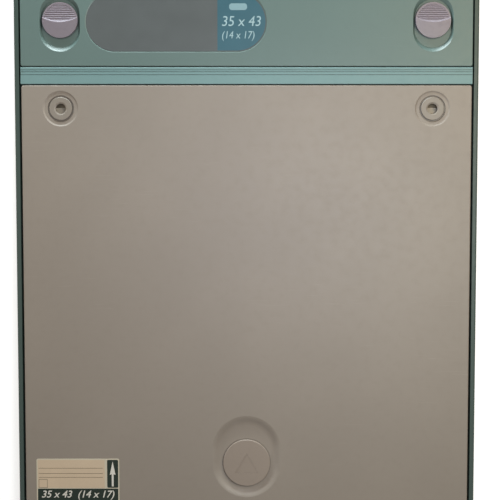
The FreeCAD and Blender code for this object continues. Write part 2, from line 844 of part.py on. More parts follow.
def collar_clip(x):
    """Split spring ring that holds one collar in its seat."""
    low = seat_under - clip_thickness
    inner = collar_neck_radius - clip_groove_depth + clip_seat_gap
    ring = turned(x, collar_y, [(inner, low), (clip_outer_radius, low),
                                (clip_outer_radius, seat_under), (inner, seat_under)])
    split = block(x, x + clip_outer_radius + cut_overrun, collar_y - clip_split / 2,
                  collar_y + clip_split / 2, low - cut_overrun, seat_under + cut_overrun)
    return ring.cut(split)


def crest_centre():
    """Y of the centre that the knob's curved crest is struck from."""
    return knob_y - crest_below_centre + crest_radius


def crest_foot_centre():
    """Y of the centre of the flatter arc at the foot of the crest's slope."""
    return crest_centre() - crest_radius + crest_width / 2 + crest_slope + crest_foot_radius


def ring_wire(x, y, radius, level):
    """A level circle."""
    return Part.Wire(Part.makeCircle(radius, V(x, y, level)))


def above_rest(x):
    """The space over the thumb rest, within a crest whose slope narrows to its ends."""
    top_radius = crest_radius - crest_width / 2
    cone = Part.makeLoft([ring_wire(x, crest_foot_centre(), crest_foot_radius, knob_scoop),
                          ring_wire(x, crest_centre(), top_radius, knob_top)], True, True)
    return cone.fuse(post(x, crest_centre(), top_radius, knob_top, knob_top + cut_overrun))


def thumb_grooves(x):
    """V shaped grip grooves across the knob, short of its edge and of the crest."""
    reach = knob_radius - groove_margin
    floor = knob_scoop - thumb_groove_depth
    half = thumb_groove_width / 2
    field = post(x, knob_y, reach, floor, knob_top)
    field = field.common(post(x, crest_foot_centre(), crest_foot_radius - groove_crest_gap,
                              floor, knob_top))
    grooves = []
    for step in range(int((reach - thumb_groove_rise) / thumb_groove_pitch) + 1):
        y = knob_y + thumb_groove_rise + step * thumb_groove_pitch
        grooves.append(prism_along_x([(y - half, knob_scoop), (y, floor),
                                      (y + half, knob_scoop), (y + half, knob_top),
                                      (y - half, knob_top)], x - reach, x + reach))
    return field.common(fused(grooves))


def lock_knob(side):
    """Round slide knob with a curved crest, a grooved thumb rest and a sloping apron."""
    x = side * lock_x
    rest = post(x, knob_y, knob_radius, knob_low, knob_scoop)
    rest = rest.makeFillet(knob_edge_radius, edges_at(rest, knob_scoop))
    disc = post(x, knob_y, knob_radius, knob_low, knob_top)
    disc = disc.makeFillet(knob_edge_radius, edges_at(disc, knob_top))
    start = crest_radius + crest_width / 2
    reach = crest_radius - crest_below_centre + knob_radius
    apron = turned(x, crest_centre(), [
        (start, knob_top), (reach + cut_overrun, knob_top - apron_drop),
        (reach + cut_overrun, knob_top + cut_overrun), (start, knob_top + cut_overrun)])
    crest = disc.cut([apron, above_rest(x)])
    boss = post(x, knob_y, knob_boss_radius, slide_top, knob_low)
    body = fused([rest, crest, boss])
    return body.cut([thumb_grooves(x), knob_screw(x, knob_y)])


def knob_screw(x, y):
    """Screw from below that clamps a slide to its knob."""
    head_top = slide_low + knob_screw_head_height
    start = V(x, y, slide_low)
    head = Part.makeCone(knob_screw_head_radius, knob_screw_radius,
                         knob_screw_head_height, start)
    shank = post(x, y, knob_screw_radius, slide_low, head_top + knob_screw_grip)
    return fused([head, shank])


def lock_slide(side):
    """Slide plate with its bevelled bolt, screw hole, pin ramp and spring tab."""
    x = side * lock_x
    half = slide_width / 2
    half_bolt = bolt_width / 2
    shoulder = lid_head_y - slide_shoulder_drop
    chamfer = half - half_bolt
    tail = tail_tab_y
    plate = plate_from([(x - half, tail), (x + half, tail), (x + half, shoulder),
                        (x + half_bolt, shoulder + chamfer), (x + half_bolt, bolt_tip_y),
                        (x - half_bolt, bolt_tip_y), (x - half_bolt, shoulder + chamfer),
                        (x - half, shoulder)], slide_low, slide_top)
    bevel_top = slide_low + bolt_bevel_share * slide_thickness
    bevel = prism_along_x([(bolt_tip_y - bolt_bevel_length, slide_low),
                           (bolt_tip_y + cut_overrun, slide_low),
                           (bolt_tip_y + cut_overrun, bevel_top), (bolt_tip_y, bevel_top)],
                          x - half_bolt, x + half_bolt)
    window = block(x - window_half_width, x + window_half_width,
                   collar_y - ramp_top_end - ramp_top_length, collar_y + window_end,
                   slide_low - cut_overrun, slide_top + cut_overrun)
    ramp_start = collar_y - ramp_top_end
    ramp = prism_along_x([(ramp_start - ramp_top_length, slide_low),
                          (collar_y + ramp_foot_end, slide_low), (ramp_start, ramp_top),
                          (ramp_start - ramp_top_length, ramp_top)],
                         x - window_half_width, x + window_half_width)
    tab = block(x - spring_tab_half_width, x + spring_tab_half_width, tail,
                tail + spring_tab_thickness, slide_low, tab_top)
    body = fused([plate.cut([bevel, window]), ramp, tab])
    return body.cut(knob_screw(x, knob_y))


def spring_between(x, low_y, high_y):
    """Coiled compression spring of square wire along Y, ruled from one section to the next."""
    half = spring_wire / 2
    start = low_y + spring_end_gap + half
    length = high_y - low_y - 2 * spring_end_gap - spring_wire
    count = spring_turns * spring_steps_per_turn
    sections = []
    for step in range(count + 1):
        angle = step / spring_steps_per_turn * 2 * math.pi
        ring = []
        for outward, along in ((-1, -1), (1, -1), (1, 1), (-1, 1), (-1, -1)):
            radius = spring_radius + outward * half
            ring.append(V(x + radius * math.cos(angle),
                          start + length * step / count + along * half,
                          spring_z + radius * math.sin(angle)))
        sections.append(Part.makePolygon(ring))
    return Part.makeLoft(sections, True, True)


def release_knob():
    """Round disc with an engraved arrowhead that works the hinge release."""
    disc = post(0, release_y, release_radius, release_low, release_top)
    disc = disc.makeFillet(release_edge_radius, edges_at(disc, release_top))
    base = release_y - arrow_base_drop
    arrow = plate_from([(-arrow_width / 2, base), (arrow_width / 2, base),
                        (0, base + arrow_height)], release_top - arrow_depth,
                       release_top + cut_overrun)
    boss = post(0, release_y, release_boss_radius, slide_top, release_low)
    return fused([disc.cut(arrow), boss]).cut(knob_screw(0, release_y))


def release_slide():
    """T shaped slide whose slanted slots draw in both hinge rods."""
    wide = crossbar_half_width
    narrow = stem_half_width
    tab_half = spring_tab_half_width
    neck_y = release_floor_high
    plate = plate_from([(-wide, crossbar_low), (wide, crossbar_low), (wide, crossbar_high),
                        (narrow, crossbar_high), (narrow, neck_y), (tab_half, neck_y),
                        (tab_half, release_tab_y), (-tab_half, release_tab_y),
                        (-tab_half, neck_y), (-narrow, neck_y), (-narrow, crossbar_high),
                        (-wide, crossbar_high)], slide_low, slide_top)
    tab = block(-tab_half, tab_half, release_tab_y - spring_tab_thickness, release_tab_y,
                slide_low, tab_top)
    cams = [slot((side * stud_x, stud_y), (side * (stud_x - rod_retract), stud_foot_y),
                 stud_radius + stud_clearance, slide_low - cut_overrun,
                 slide_top + cut_overrun) for _, side in LEFT_AND_RIGHT]
    return fused([plate, tab]).cut(cams + [knob_screw(0, release_y)])


def hinge_rod(side):
    """Cranked hinge rod with the stud that rides in a slanted slot."""
    low, high = sorted((side * stud_x, side * rod_tip_x))
    rod = bar_along_x(low, high, hinge_y, hinge_z, rod_radius)
    arm = slot((side * stud_x, hinge_y), (side * stud_x, stud_y), arm_half_width,
               arm_low, arm_high)
    stud = post(side * stud_x, stud_y, stud_radius, slide_low, arm_low)
    return fused([rod, arm, stud])


def guide_pair(x, half_gap, low_y, high_y):
    """Two plastic strips that steer a slide plate between them."""
    strips = []
    for _, side in LEFT_AND_RIGHT:
        low, high = sorted((x + side * half_gap, x + side * (half_gap + guide_width)))
        strips.append(block(low, high, low_y, high_y, inner_plate_top, slide_top + guide_rise))
    return Part.makeCompound(strips)


def frame_parts():
    """Everything that stays with the tube side frame."""
    plate_x = plate_width / 2
    plate_y = plate_length / 2
    liner_x = pocket_half_width - liner_clearance
    liner_y = pocket_half_length - liner_clearance
    parts = {
        "front_frame": front_frame(),
        "front_panel": rounded_block(-panel_half_width, panel_half_width,
                                     -panel_half_length, panel_half_length,
                                     panel_recess, panel_top, panel_corner_radius),
        "front_liner": rounded_block(-liner_x, liner_x, -liner_y, liner_y,
                                     panel_top, liner_top, pocket_corner_radius),
        "imaging_plate": rounded_block(-plate_x, plate_x, -plate_y, plate_y,
                                       liner_top, plate_top, plate_corner_radius),
        "light_seal": light_seal(),
        "strike_screws": Part.makeCompound([strike_screw(x, z)
                                            for x, z in strike_screw_places()]),
    }
    for name, side in LEFT_AND_RIGHT:
        parts["strike_plate_" + name] = strike_plate(side)
        parts["hinge_bush_" + name] = hinge_bush(side)
    return parts


def lid_parts():
    """Everything fixed to the hinged back."""
    label_x = label_from_side - cover_half_width
    label_y = lid_foot_y + label_from_foot
    places = [place for row in screw_rows().values() for place in row]
    parts = {
        "lid_inner_plate": lid_inner_plate(),
        "lead_foil": rounded_block(-pad_half_width, pad_half_width, -pad_half_length,
                                   pad_half_length, foil_under, inner_plate_under,
                                   plate_corner_radius),
        "pressure_foam": rounded_block(-pad_half_width, pad_half_width, -pad_half_length,
                                       pad_half_length, foam_under, foil_under,
                                       plate_corner_radius),
        "lock_housing": lock_housing(),
        "name_plate": name_plate(),
        "ribbed_band": ribbed_band(),
        "back_cover": back_cover(),
        "info_label": rounded_block(label_x, label_x + label_width, label_y,
                                    label_y + label_height, lid_top,
                                    lid_top + label_thickness, label_corner_radius),
        "lid_screws": Part.makeCompound([lid_screw(x, y) for x, y in places]),
        "release_guides": guide_pair(0, stem_half_width + slide_side_gap,
                                     crossbar_high + release_travel + release_guide_inset,
                                     release_floor_high - release_guide_inset),
    }
    for name, side in LEFT_AND_RIGHT:
        x = side * lock_x
        parts["guide_collar_" + name] = guide_collar(x)
        parts["collar_clip_" + name] = collar_clip(x)
        parts["slide_guides_" + name] = guide_pair(
            x, slide_width / 2 + slide_side_gap, housing_low_y + lid_wall + guide_inset,
            lid_head_y - slide_shoulder_drop)
    return parts


def moving_parts():
    """The locks, the hinge release and the hinge rods."""
    parts = {
        "release_knob": release_knob(),
        "release_slide": release_slide(),
        "release_screw": knob_screw(0, release_y),
        "release_spring": spring_between(0, release_tab_y,
                                         release_tab_y + release_spring_length),
    }
    for name, side in LEFT_AND_RIGHT:
        x = side * lock_x
        parts["lock_knob_" + name] = lock_knob(side)
        parts["lock_slide_" + name] = lock_slide(side)
        parts["lock_screw_" + name] = knob_screw(x, knob_y)
        parts["lock_spring_" + name] = spring_between(x, tail_tab_y - lock_spring_length,
                                                      tail_tab_y)
        parts["hinge_rod_" + name] = hinge_rod(side)
    return parts


os.makedirs("parts", exist_ok=True)
assembly = {**frame_parts(), **lid_parts(), **moving_parts()}
for node, shape in assembly.items():
    shape.exportStep("parts/" + node + ".step")
    print(node, "solids", len(shape.Solids), "volume", round(shape.Volume, 1),
          "sound", shape.isValid())
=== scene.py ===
import math

import bmesh
import bpy
from mathutils import Matrix, Vector, noise


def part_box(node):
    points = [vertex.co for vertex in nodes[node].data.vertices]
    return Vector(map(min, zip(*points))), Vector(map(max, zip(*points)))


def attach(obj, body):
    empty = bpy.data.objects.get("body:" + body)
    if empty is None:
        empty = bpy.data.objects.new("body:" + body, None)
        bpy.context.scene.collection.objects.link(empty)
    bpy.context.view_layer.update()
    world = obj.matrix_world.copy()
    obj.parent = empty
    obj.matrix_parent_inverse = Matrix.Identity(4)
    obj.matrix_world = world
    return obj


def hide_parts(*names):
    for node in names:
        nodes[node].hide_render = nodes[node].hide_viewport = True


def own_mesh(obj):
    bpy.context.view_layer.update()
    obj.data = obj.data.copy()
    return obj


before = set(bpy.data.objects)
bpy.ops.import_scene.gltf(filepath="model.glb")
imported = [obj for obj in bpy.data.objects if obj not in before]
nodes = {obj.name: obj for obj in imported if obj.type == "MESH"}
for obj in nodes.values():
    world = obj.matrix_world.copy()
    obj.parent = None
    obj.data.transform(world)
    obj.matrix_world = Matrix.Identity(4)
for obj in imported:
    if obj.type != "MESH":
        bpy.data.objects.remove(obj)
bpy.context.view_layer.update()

# Looks of a flat cassette for an imaging plate: moulded grey green rim and lock
# housing, taupe back cover, round slide locks and a round hinge release.
# Everything is in metres, with +Y towards the locked edge and +Z out of the back.
MM = 0.001

# Colours, as screen values from 0 to 255
# Painted shade: the rim is set darker than the housing's teal, for the shade on its
# outward-sloping edge
SHADED_RIM_GREEN = (49, 66, 60)
HOUSING_GREEN = (95, 116, 112)
# Painted light: the ribbed band is set lighter than the housing's teal, for the light its tilted
# face catches
LIT_BAND_GREEN = (115, 147, 147)
COVER_TAUPE = (147, 138, 128)
DISC_TAUPE = (149, 137, 126)
COLLAR_TAUPE = (139, 131, 121)
KNOB_MAUVE = (138, 130, 139)
PANEL_GREY = (52, 54, 56)
PANEL_SCUFF = (150, 152, 155)
FLEECE_BLACK = (34, 34, 36)
FELT_BLACK = (24, 24, 25)
FOAM_BLACK = (40, 40, 43)
PHOSPHOR_WHITE = (226, 228, 230)
BACKING_BLACK = (30, 31, 33)
BACKING_SCUFF = (120, 122, 126)
STEEL = (176, 178, 181)
BRONZE = (158, 128, 84)
# Painted shade: the inner plate's metal is made dark brown so the bores above it look shaded
PLATE_SHADE_BROWN = (92, 84, 72)
LEAD = (96, 99, 104)
ACETAL = (214, 212, 206)
NATURAL_NYLON = (186, 179, 165)
FILM_GREY = (77, 83, 83)
FILM_BLUE = (40, 87, 100)
PAPER_PALE = (214, 206, 186)
FORM_BEIGE = (216, 196, 170)
LABEL_GREEN = (34, 44, 37)
INK_WHITE = (236, 234, 226)
INK_BLUE_WHITE = (166, 194, 200)
TAB_BLUE = (136, 168, 176)
INK_BROWN = (74, 64, 50)
FLOOR_WHITE = (236, 236, 234)
ROOM_COLOUR = (255, 243, 224)
WHITE = (255, 255, 255)

# Scale from screen values to the values that light adds up in
SCREEN_FULL = 255
SCREEN_KNEE = 0.04045
SCREEN_FOOT = 12.92
SCREEN_LIFT = 0.055
SCREEN_POWER = 2.4


def straight(value):
    """One screen value as an amount of light."""
    share = value / SCREEN_FULL
    if share <= SCREEN_KNEE:
        return share / SCREEN_FOOT
    return ((share + SCREEN_LIFT) / (1 + SCREEN_LIFT)) ** SCREEN_POWER


def paint(colour, scale=1.0):
    """A screen colour as a shader colour, made lighter or darker by a scale."""
    return tuple(min(1.0, straight(value) * scale) for value in colour) + (1.0,)


class Nodes:
    """Adds nodes to a node tree, and links or sets their inputs."""

    def __init__(self, tree):
        self.tree = tree

    def set_input(self, node, name, value):
        """Links an output to a socket, or sets the socket's plain value."""
        if isinstance(value, bpy.types.NodeSocket):
            self.tree.links.new(value, node.inputs[name])
        else:
            node.inputs[name].default_value = value

    def node(self, kind, inputs=None, **settings):
        """A new node with its settings and its inputs, linked or plain."""
        made = self.tree.nodes.new(kind)
        for name, value in settings.items():
            setattr(made, name, value)
        for name, value in (inputs or {}).items():
            self.set_input(made, name, value)
        return made

    def math(self, operation, first, second=0.0):
        """One sum of two values."""
        made = self.node("ShaderNodeMath", {0: first, 1: second}, operation=operation)
        return made.outputs[0]


# Sockets of the node that mixes two colours
MIX_SHARE, MIX_UNDER, MIX_OVER, MIX_RESULT = 0, 6, 7, 2

# Stretch of a cloudy value over which the roughness changes
ROUGH_FROM, ROUGH_TO = 0.3, 0.7


class Finish(Nodes):
    """A material that is built up on a piece's own Object coordinates."""

    def __init__(self, name, hue, roughness, sockets=None):
        self.material = bpy.data.materials.new(name)
        self.material.use_nodes = True
        super().__init__(self.material.node_tree)
        self.shader = self.tree.nodes["Principled BSDF"]
        self.hue = hue
        self.colour = paint(hue)
        self.set_input(self.shader, "Base Color", self.colour)
        self.set_input(self.shader, "Roughness", roughness)
        for socket, value in (sockets or {}).items():
            self.set_input(self.shader, socket, value)
        self.place = self.node("ShaderNodeTexCoord").outputs["Object"]
        self.normal = None

    def axis(self, index):
        """One of the Object coordinates."""
        return self.node("ShaderNodeSeparateXYZ", {"Vector": self.place}).outputs[index]

    def placed(self, stretch, turn=0.0):
        """Object coordinates, stretched and turned about Z."""
        mapping = self.node("ShaderNodeMapping", {
            "Vector": self.place, "Scale": stretch, "Rotation": (0, 0, turn)})
        return mapping.outputs["Vector"]

    def noise(self, size, detail, place=None):
        """Cloudy values from 0 to 1 whose blots are about one size across."""
        made = self.node("ShaderNodeTexNoise", {
            "Vector": place or self.place, "Scale": 1 / size, "Detail": detail})
        return made.outputs["Fac"]

    def cells(self, size):
        """Distance from the middle of the nearest of many small cells."""
        made = self.node("ShaderNodeTexVoronoi", {"Vector": self.place, "Scale": 1 / size})
        return made.outputs["Distance"]

    def ramp(self, value, low, high, to_low=0.0, to_high=1.0):
        """A value drawn out between two limits and held there."""
        made = self.node("ShaderNodeMapRange", {
            "Value": value, "From Min": low, "From Max": high,
            "To Min": to_low, "To Max": to_high}, interpolation_type="SMOOTHSTEP")
        return made.outputs["Result"]

    def tint(self, amount, tone=1.0, hue=None, share=1.0):
        """Lays another tone of the finish's colour, or another colour, over it."""
        if share != 1.0:
            amount = self.math("MULTIPLY", amount, share)
        made = self.node("ShaderNodeMix", {
            MIX_SHARE: amount, MIX_UNDER: self.colour,
            MIX_OVER: paint(hue or self.hue, tone)}, data_type="RGBA")
        self.colour = made.outputs[MIX_RESULT]
        self.set_input(self.shader, "Base Color", self.colour)

    def blots(self, size, detail, start, full, amount, tone, place=None):
        """Cloudy blots of a lighter or darker tone. Gives back the cloudy value."""
        cloud = self.noise(size, detail, place)
        self.tint(self.ramp(cloud, start, full, 0.0, amount), tone)
        return cloud

    def rough(self, value, low, high):
        """Lets the roughness follow a value."""
        self.set_input(self.shader, "Roughness",
                       self.ramp(value, ROUGH_FROM, ROUGH_TO, low, high))

    def bump(self, height, depth):
        """Raises the surface by a height from 0 to 1, times a depth in metres."""
        made = self.node("ShaderNodeBump", {"Height": height, "Distance": depth})
        if self.normal:
            self.set_input(made, "Normal", self.normal)
        self.normal = made.outputs["Normal"]
        self.set_input(self.shader, "Normal", self.normal)


# What the finishes have in common
GRAIN_SIZE = 0.42 * MM
GRAIN_DEPTH = 0.006 * MM
MOTTLE_SIZE = 7 * MM
CLOUD_SIZE = 95 * MM
WAVE_SIZE = CLOUD_SIZE / 2
WAVE_DEPTH = 0.12 * MM
SCUFF_LENGTH = 30 * MM
SCUFF_STRETCH = (1, 46, 1)
SCUFF_FADE = 0.05
SCUFF_PATCH_SIZE = 2 * SCUFF_LENGTH
SCUFF_PATCH_FROM, SCUFF_PATCH_TO = 0.5, 0.62
WEAR_RADIUS = 0.7 * MM
WEAR_FROM, WEAR_TO = 0.97, 0.80
# Painted shade in gaps and recesses, from an occlusion test: its reach, a longer reach for deep
# recesses, where it fades in, how much and how dark
CREVICE_REACH = 1.6 * MM
RECESS_REACH = 3.2 * MM
CREVICE_FROM, CREVICE_TO = 0.8, 0.45
CREVICE_DEPTH = 0.95
CREVICE_SHADE = 0.2


def grain(finish, depth=GRAIN_DEPTH):
    """The fine eroded grain of a mould."""
    finish.bump(finish.noise(GRAIN_SIZE, detail=2.0), depth)


def scuffs(finish, turn, limit):
    """Thin, faint scratches that run one way."""
    lines = finish.noise(SCUFF_LENGTH, detail=3.0, place=finish.placed(SCUFF_STRETCH, turn))
    patches = finish.noise(SCUFF_PATCH_SIZE, detail=1.0)
    return finish.math("MULTIPLY", finish.ramp(lines, limit, limit + SCUFF_FADE),
                       finish.ramp(patches, SCUFF_PATCH_FROM, SCUFF_PATCH_TO))


def worn_edges(finish):
    """How far a point lies on a rounded or sharp outer edge."""
    soft = finish.node("ShaderNodeBevel", {"Radius": WEAR_RADIUS}, samples=4)
    plain = finish.node("ShaderNodeNewGeometry").outputs["Normal"]
    product = finish.node("ShaderNodeVectorMath", {0: soft.outputs["Normal"], 1: plain},
                          operation="DOT_PRODUCT")
    return finish.ramp(product.outputs["Value"], WEAR_FROM, WEAR_TO)


def painted_crevice_shade(finish, shade_reach):
    """Painted shade that darkens narrow gaps, recesses and the foot of walls, where an occlusion
    test finds little open space.
    """
    free = finish.node("ShaderNodeAmbientOcclusion", {"Distance": shade_reach}, samples=8)
    finish.tint(finish.ramp(free.outputs["AO"], CREVICE_FROM, CREVICE_TO, 0.0, CREVICE_DEPTH),
                tone=CREVICE_SHADE)


def moulded(name, hue, roughness=0.46, shade_reach=CREVICE_REACH):
    """Satin moulded plastic with a fine grain, faint clouds, rubbed edges and painted shade in its
    gaps and recesses.
    """
    finish = Finish(name, hue, roughness, {"IOR": 1.48})
    finish.blots(CLOUD_SIZE, detail=3.0, start=0.35, full=0.75, amount=0.55, tone=1.12)
    mottle = finish.blots(MOTTLE_SIZE, detail=4.0, start=0.45, full=0.8, amount=0.2, tone=0.86)
    finish.tint(scuffs(finish, turn=0.7, limit=0.66), tone=1.6, share=0.16)
    finish.tint(worn_edges(finish), tone=1.7, share=0.35)
    # Painted shade in gaps, recesses and at the foot of walls
    painted_crevice_shade(finish, shade_reach)
    finish.rough(mottle, low=roughness - 0.03, high=roughness + 0.03)
    grain(finish)
    finish.bump(finish.noise(WAVE_SIZE, detail=1.0), WAVE_DEPTH)
    return finish.material


def knob_plastic():
    """Smoother moulded plastic, polished a little where fingers push."""
    finish = Finish("knob_mauve", KNOB_MAUVE, roughness=0.42, sockets={
        "IOR": 1.5, "Subsurface Weight": 0.45, "Subsurface Radius": (1.0, 0.9, 0.9),
        "Subsurface Scale": 1.3 * MM})
    mottle = finish.blots(MOTTLE_SIZE / 2, detail=4.0, start=0.4, full=0.8, amount=0.4,
                          tone=0.86)
    finish.tint(worn_edges(finish), tone=1.9, share=0.45)
    finish.rough(mottle, low=0.33, high=0.44)
    grain(finish, GRAIN_DEPTH / 2)
    return finish.material


TOW_WIDTH = 2.2 * MM
TOWS_ACROSS = 2.0


def laminate():
    """Carbon fibre laminate: a twill weave that just shows under dark lacquer."""
    finish = Finish("panel_laminate", PANEL_GREY, roughness=0.34, sockets={
        "Coat Weight": 0.35, "Coat Roughness": 0.22})
    steps = [finish.math("FLOOR", finish.math("DIVIDE", finish.axis(index), TOW_WIDTH))
             for index in range(2)]
    twill = finish.math("PINGPONG", finish.math("ADD", *steps), TOWS_ACROSS)
    over = finish.ramp(twill, low=0.4, high=1.6)
    finish.tint(over, tone=1.5, share=0.55)
    finish.blots(CLOUD_SIZE, detail=3.0, start=0.4, full=0.8, amount=0.4, tone=0.7)
    finish.tint(scuffs(finish, turn=0.3, limit=0.64), hue=PANEL_SCUFF, share=0.3)
    finish.bump(over, depth=0.02 * MM)
    finish.bump(finish.noise(12 * MM, detail=2.0), depth=0.04 * MM)
    return finish.material


def fibrous(name, hue, fibre, depth):
    """Felt or fleece: matted short fibres with a soft sheen."""
    finish = Finish(name, hue, roughness=0.95, sockets={
        "Sheen Weight": 0.6, "Sheen Roughness": 0.45})
    mat = finish.noise(fibre, detail=6.0)
    crossed = finish.noise(fibre, detail=4.0, place=finish.placed((1, 5, 1), turn=0.6))
    tufts = finish.math("MAXIMUM", mat, crossed)
    finish.tint(finish.ramp(tufts, low=0.42, high=0.72, to_high=0.8), tone=2.4)
    finish.blots(22 * MM, detail=3.0, start=0.4, full=0.75, amount=0.45, tone=0.6)
    finish.bump(tufts, depth)
    return finish.material


def open_cell_foam():
    """Black foam whose cut cells show as small pits, darkened with painted shade."""
    finish = Finish("foam_black", FOAM_BLACK, roughness=0.92, sockets={
        "Sheen Weight": 0.35, "Sheen Roughness": 0.5})
    pores = finish.ramp(finish.cells(0.9 * MM), low=0.1, high=0.55)
    # Painted shade in the pits of the cut cells
    finish.tint(finish.math("SUBTRACT", 1.0, pores), tone=0.35)
    finish.blots(40 * MM, detail=4.0, start=0.4, full=0.75, amount=0.4, tone=1.7)
    finish.bump(pores, depth=0.12 * MM)
    finish.bump(finish.noise(9 * MM, detail=3.0), depth=0.2 * MM)
    return finish.material


BACKING_THICKNESS = 0.3 * MM
BACKING_EDGE = 0.02 * MM


def imaging_sheet(backing_level):
    """The imaging plate: black plastic backing above, white coating below and at its edge."""
    finish = Finish("plate_phosphor", PHOSPHOR_WHITE, roughness=0.42)
    finish.blots(60 * MM, detail=3.0, start=0.4, full=0.8, amount=0.5, tone=0.94)
    backing = finish.ramp(finish.axis(2), backing_level - BACKING_EDGE, backing_level)
    finish.tint(backing, hue=BACKING_BLACK)
    worn = finish.math("MULTIPLY", scuffs(finish, turn=1.3, limit=0.63), 0.25)
    finish.tint(finish.math("MULTIPLY", worn, backing), hue=BACKING_SCUFF)
    finish.rough(finish.noise(25 * MM, detail=3.0), low=0.4, high=0.47)
    grain(finish)
    return finish.material


def metal(name, hue, roughness, stretch, depth):
    """Rolled or ground metal with fine lines one way and a few dull spots."""
    finish = Finish(name, hue, roughness, {"Metallic": 1.0})
    lines = finish.blots(3 * MM, detail=4.0, start=0.35, full=0.7, amount=0.5, tone=0.72,
                         place=finish.placed(stretch))
    spots = finish.blots(9 * MM, detail=5.0, start=0.58, full=0.75, amount=0.5, tone=0.6)
    finish.rough(spots, low=roughness - 0.06, high=roughness + 0.12)
    finish.bump(lines, depth)
    return finish.material


def acetal():
    """Milky, slightly waxy plastic."""
    finish = Finish("guide_acetal", ACETAL, roughness=0.4, sockets={
        "Subsurface Weight": 0.1, "Subsurface Scale": 1 * MM})
    finish.blots(5 * MM, detail=3.0, start=0.4, full=0.8, amount=0.5, tone=0.88)
    grain(finish)
    return finish.material


def printed_film(name, hue):
    """Printed film behind a satin face with a very fine texture."""
    finish = Finish(name, hue, roughness=0.36, sockets={
        "Coat Weight": 0.1, "Coat Roughness": 0.3})
    finish.blots(45 * MM, detail=3.0, start=0.35, full=0.75, amount=0.6, tone=1.16)
    speckle = finish.blots(0.3 * MM, detail=3.0, start=0.5, full=0.75, amount=0.35, tone=0.78)
    finish.rough(finish.noise(14 * MM, detail=3.0), low=0.32, high=0.42)
    finish.bump(speckle, depth=0.004 * MM)
    return finish.material


def paper(name, hue):
    """Coated paper with faint fibres, a little yellowed in places."""
    finish = Finish(name, hue, roughness=0.55)
    fibres = finish.blots(1.4 * MM, detail=6.0, start=0.45, full=0.8, amount=0.35, tone=0.84,
                          place=finish.placed((1, 3, 1), turn=0.5))
    finish.blots(24 * MM, detail=3.0, start=0.45, full=0.75, amount=0.45, tone=1.1)
    finish.bump(fibres, depth=0.01 * MM)
    return finish.material


def ink(name, hue):
    """Print that has thinned in tiny specks."""
    finish = Finish(name, hue, roughness=0.5, sockets={"Specular IOR Level": 0.2})
    specks = finish.blots(0.35 * MM, detail=4.0, start=0.55, full=0.75, amount=0.5, tone=0.7)
    finish.bump(specks, depth=0.003 * MM)
    return finish.material


def dress(material, *names):
    """Gives CAD nodes a material."""
    for name in names:
        slots = nodes[name].data.materials
        slots.clear()
        slots.append(material)


plate_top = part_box("imaging_plate")[1].z
steel = metal("steel_bright", STEEL, roughness=0.3, stretch=(14, 1, 14), depth=0.004 * MM)
# The rim's darker teal is painted shade
dress(moulded("rim_green", SHADED_RIM_GREEN, roughness=0.42), "front_frame")
# The housing's longer reach spreads painted shade over the walls of its recesses
dress(moulded("housing_green", HOUSING_GREEN, roughness=0.38, shade_reach=RECESS_REACH), "lock_housing")
# The band's lighter teal is painted light
dress(moulded("band_green", LIT_BAND_GREEN), "ribbed_band")
dress(moulded("cover_taupe", COVER_TAUPE), "back_cover")
dress(moulded("collar_taupe", COLLAR_TAUPE, roughness=0.42),
      "guide_collar_left", "guide_collar_right")
dress(moulded("disc_taupe", DISC_TAUPE, roughness=0.42), "release_knob")
dress(knob_plastic(), "lock_knob_left", "lock_knob_right")
dress(laminate(), "front_panel")
dress(imaging_sheet(plate_top - BACKING_THICKNESS), "imaging_plate")
# The inner plate's dark brown is painted shade seen through the bores
dress(metal("inner_anodised", PLATE_SHADE_BROWN, roughness=0.5, stretch=(1, 26, 1), depth=0.01 * MM),
      "lid_inner_plate")
dress(metal("lead_foil", LEAD, roughness=0.5, stretch=(1, 6, 1), depth=0.02 * MM), "lead_foil")
dress(metal("bush_bronze", BRONZE, roughness=0.38, stretch=(8, 1, 1), depth=0.01 * MM),
      "hinge_bush_left", "hinge_bush_right")
dress(acetal(), "release_guides", "slide_guides_left", "slide_guides_right")
dress(printed_film("film_grey", FILM_GREY), "name_plate")
dress(paper("label_pale", PAPER_PALE), "info_label")
dress(steel, "strike_plate_left", "strike_plate_right", "collar_clip_left",
      "collar_clip_right", "lock_screw_left", "lock_screw_right", "release_slide",
      "release_screw", "hinge_rod_left", "hinge_rod_right")
dress(moulded("slide_nylon", NATURAL_NYLON, roughness=0.5),
      "lock_slide_left", "lock_slide_right")


def piece_of(mesh, name, material, body, replaced=()):
    """Links a finished mesh as a named piece on a body."""
    piece = bpy.data.objects.new(name, mesh)
    bpy.context.scene.collection.objects.link(piece)
    mesh.materials.clear()
    mesh.materials.append(material)
    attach(piece, body)
    if replaced:
        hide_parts(*replaced)
    return piece


def piece_from(bm, name, material, body, replaced=()):
    """Turns a mesh under construction into a named piece on a body."""
    mesh = bpy.data.meshes.new(name)
    bm.to_mesh(mesh)
    bm.free()
    return piece_of(mesh, name, material, body, replaced)


def plain_mesh(draft):
    """The plain mesh that a draft object comes to. The draft goes."""
    bpy.context.view_layer.update()
    mesh = bpy.data.meshes.new_from_object(draft.evaluated_get(
        bpy.context.evaluated_depsgraph_get()))
    draft.modifiers.clear()
    bpy.data.objects.remove(draft)
    return mesh


CORNER_STEPS = 6


def round_corners(x0, x1, y0, y1, radius):
    """The outline of a rectangle with round corners, as (x, y) points."""
    centres = ((x1 - radius, y0 + radius, -0.5), (x1 - radius, y1 - radius, 0.0),
               (x0 + radius, y1 - radius, 0.5), (x0 + radius, y0 + radius, 1.0))
    points = []
    for x, y, start in centres:
        for step in range(CORNER_STEPS + 1):
            angle = (start + step / CORNER_STEPS / 2) * math.pi
            points.append((x + radius * math.cos(angle), y + radius * math.sin(angle)))
    return points


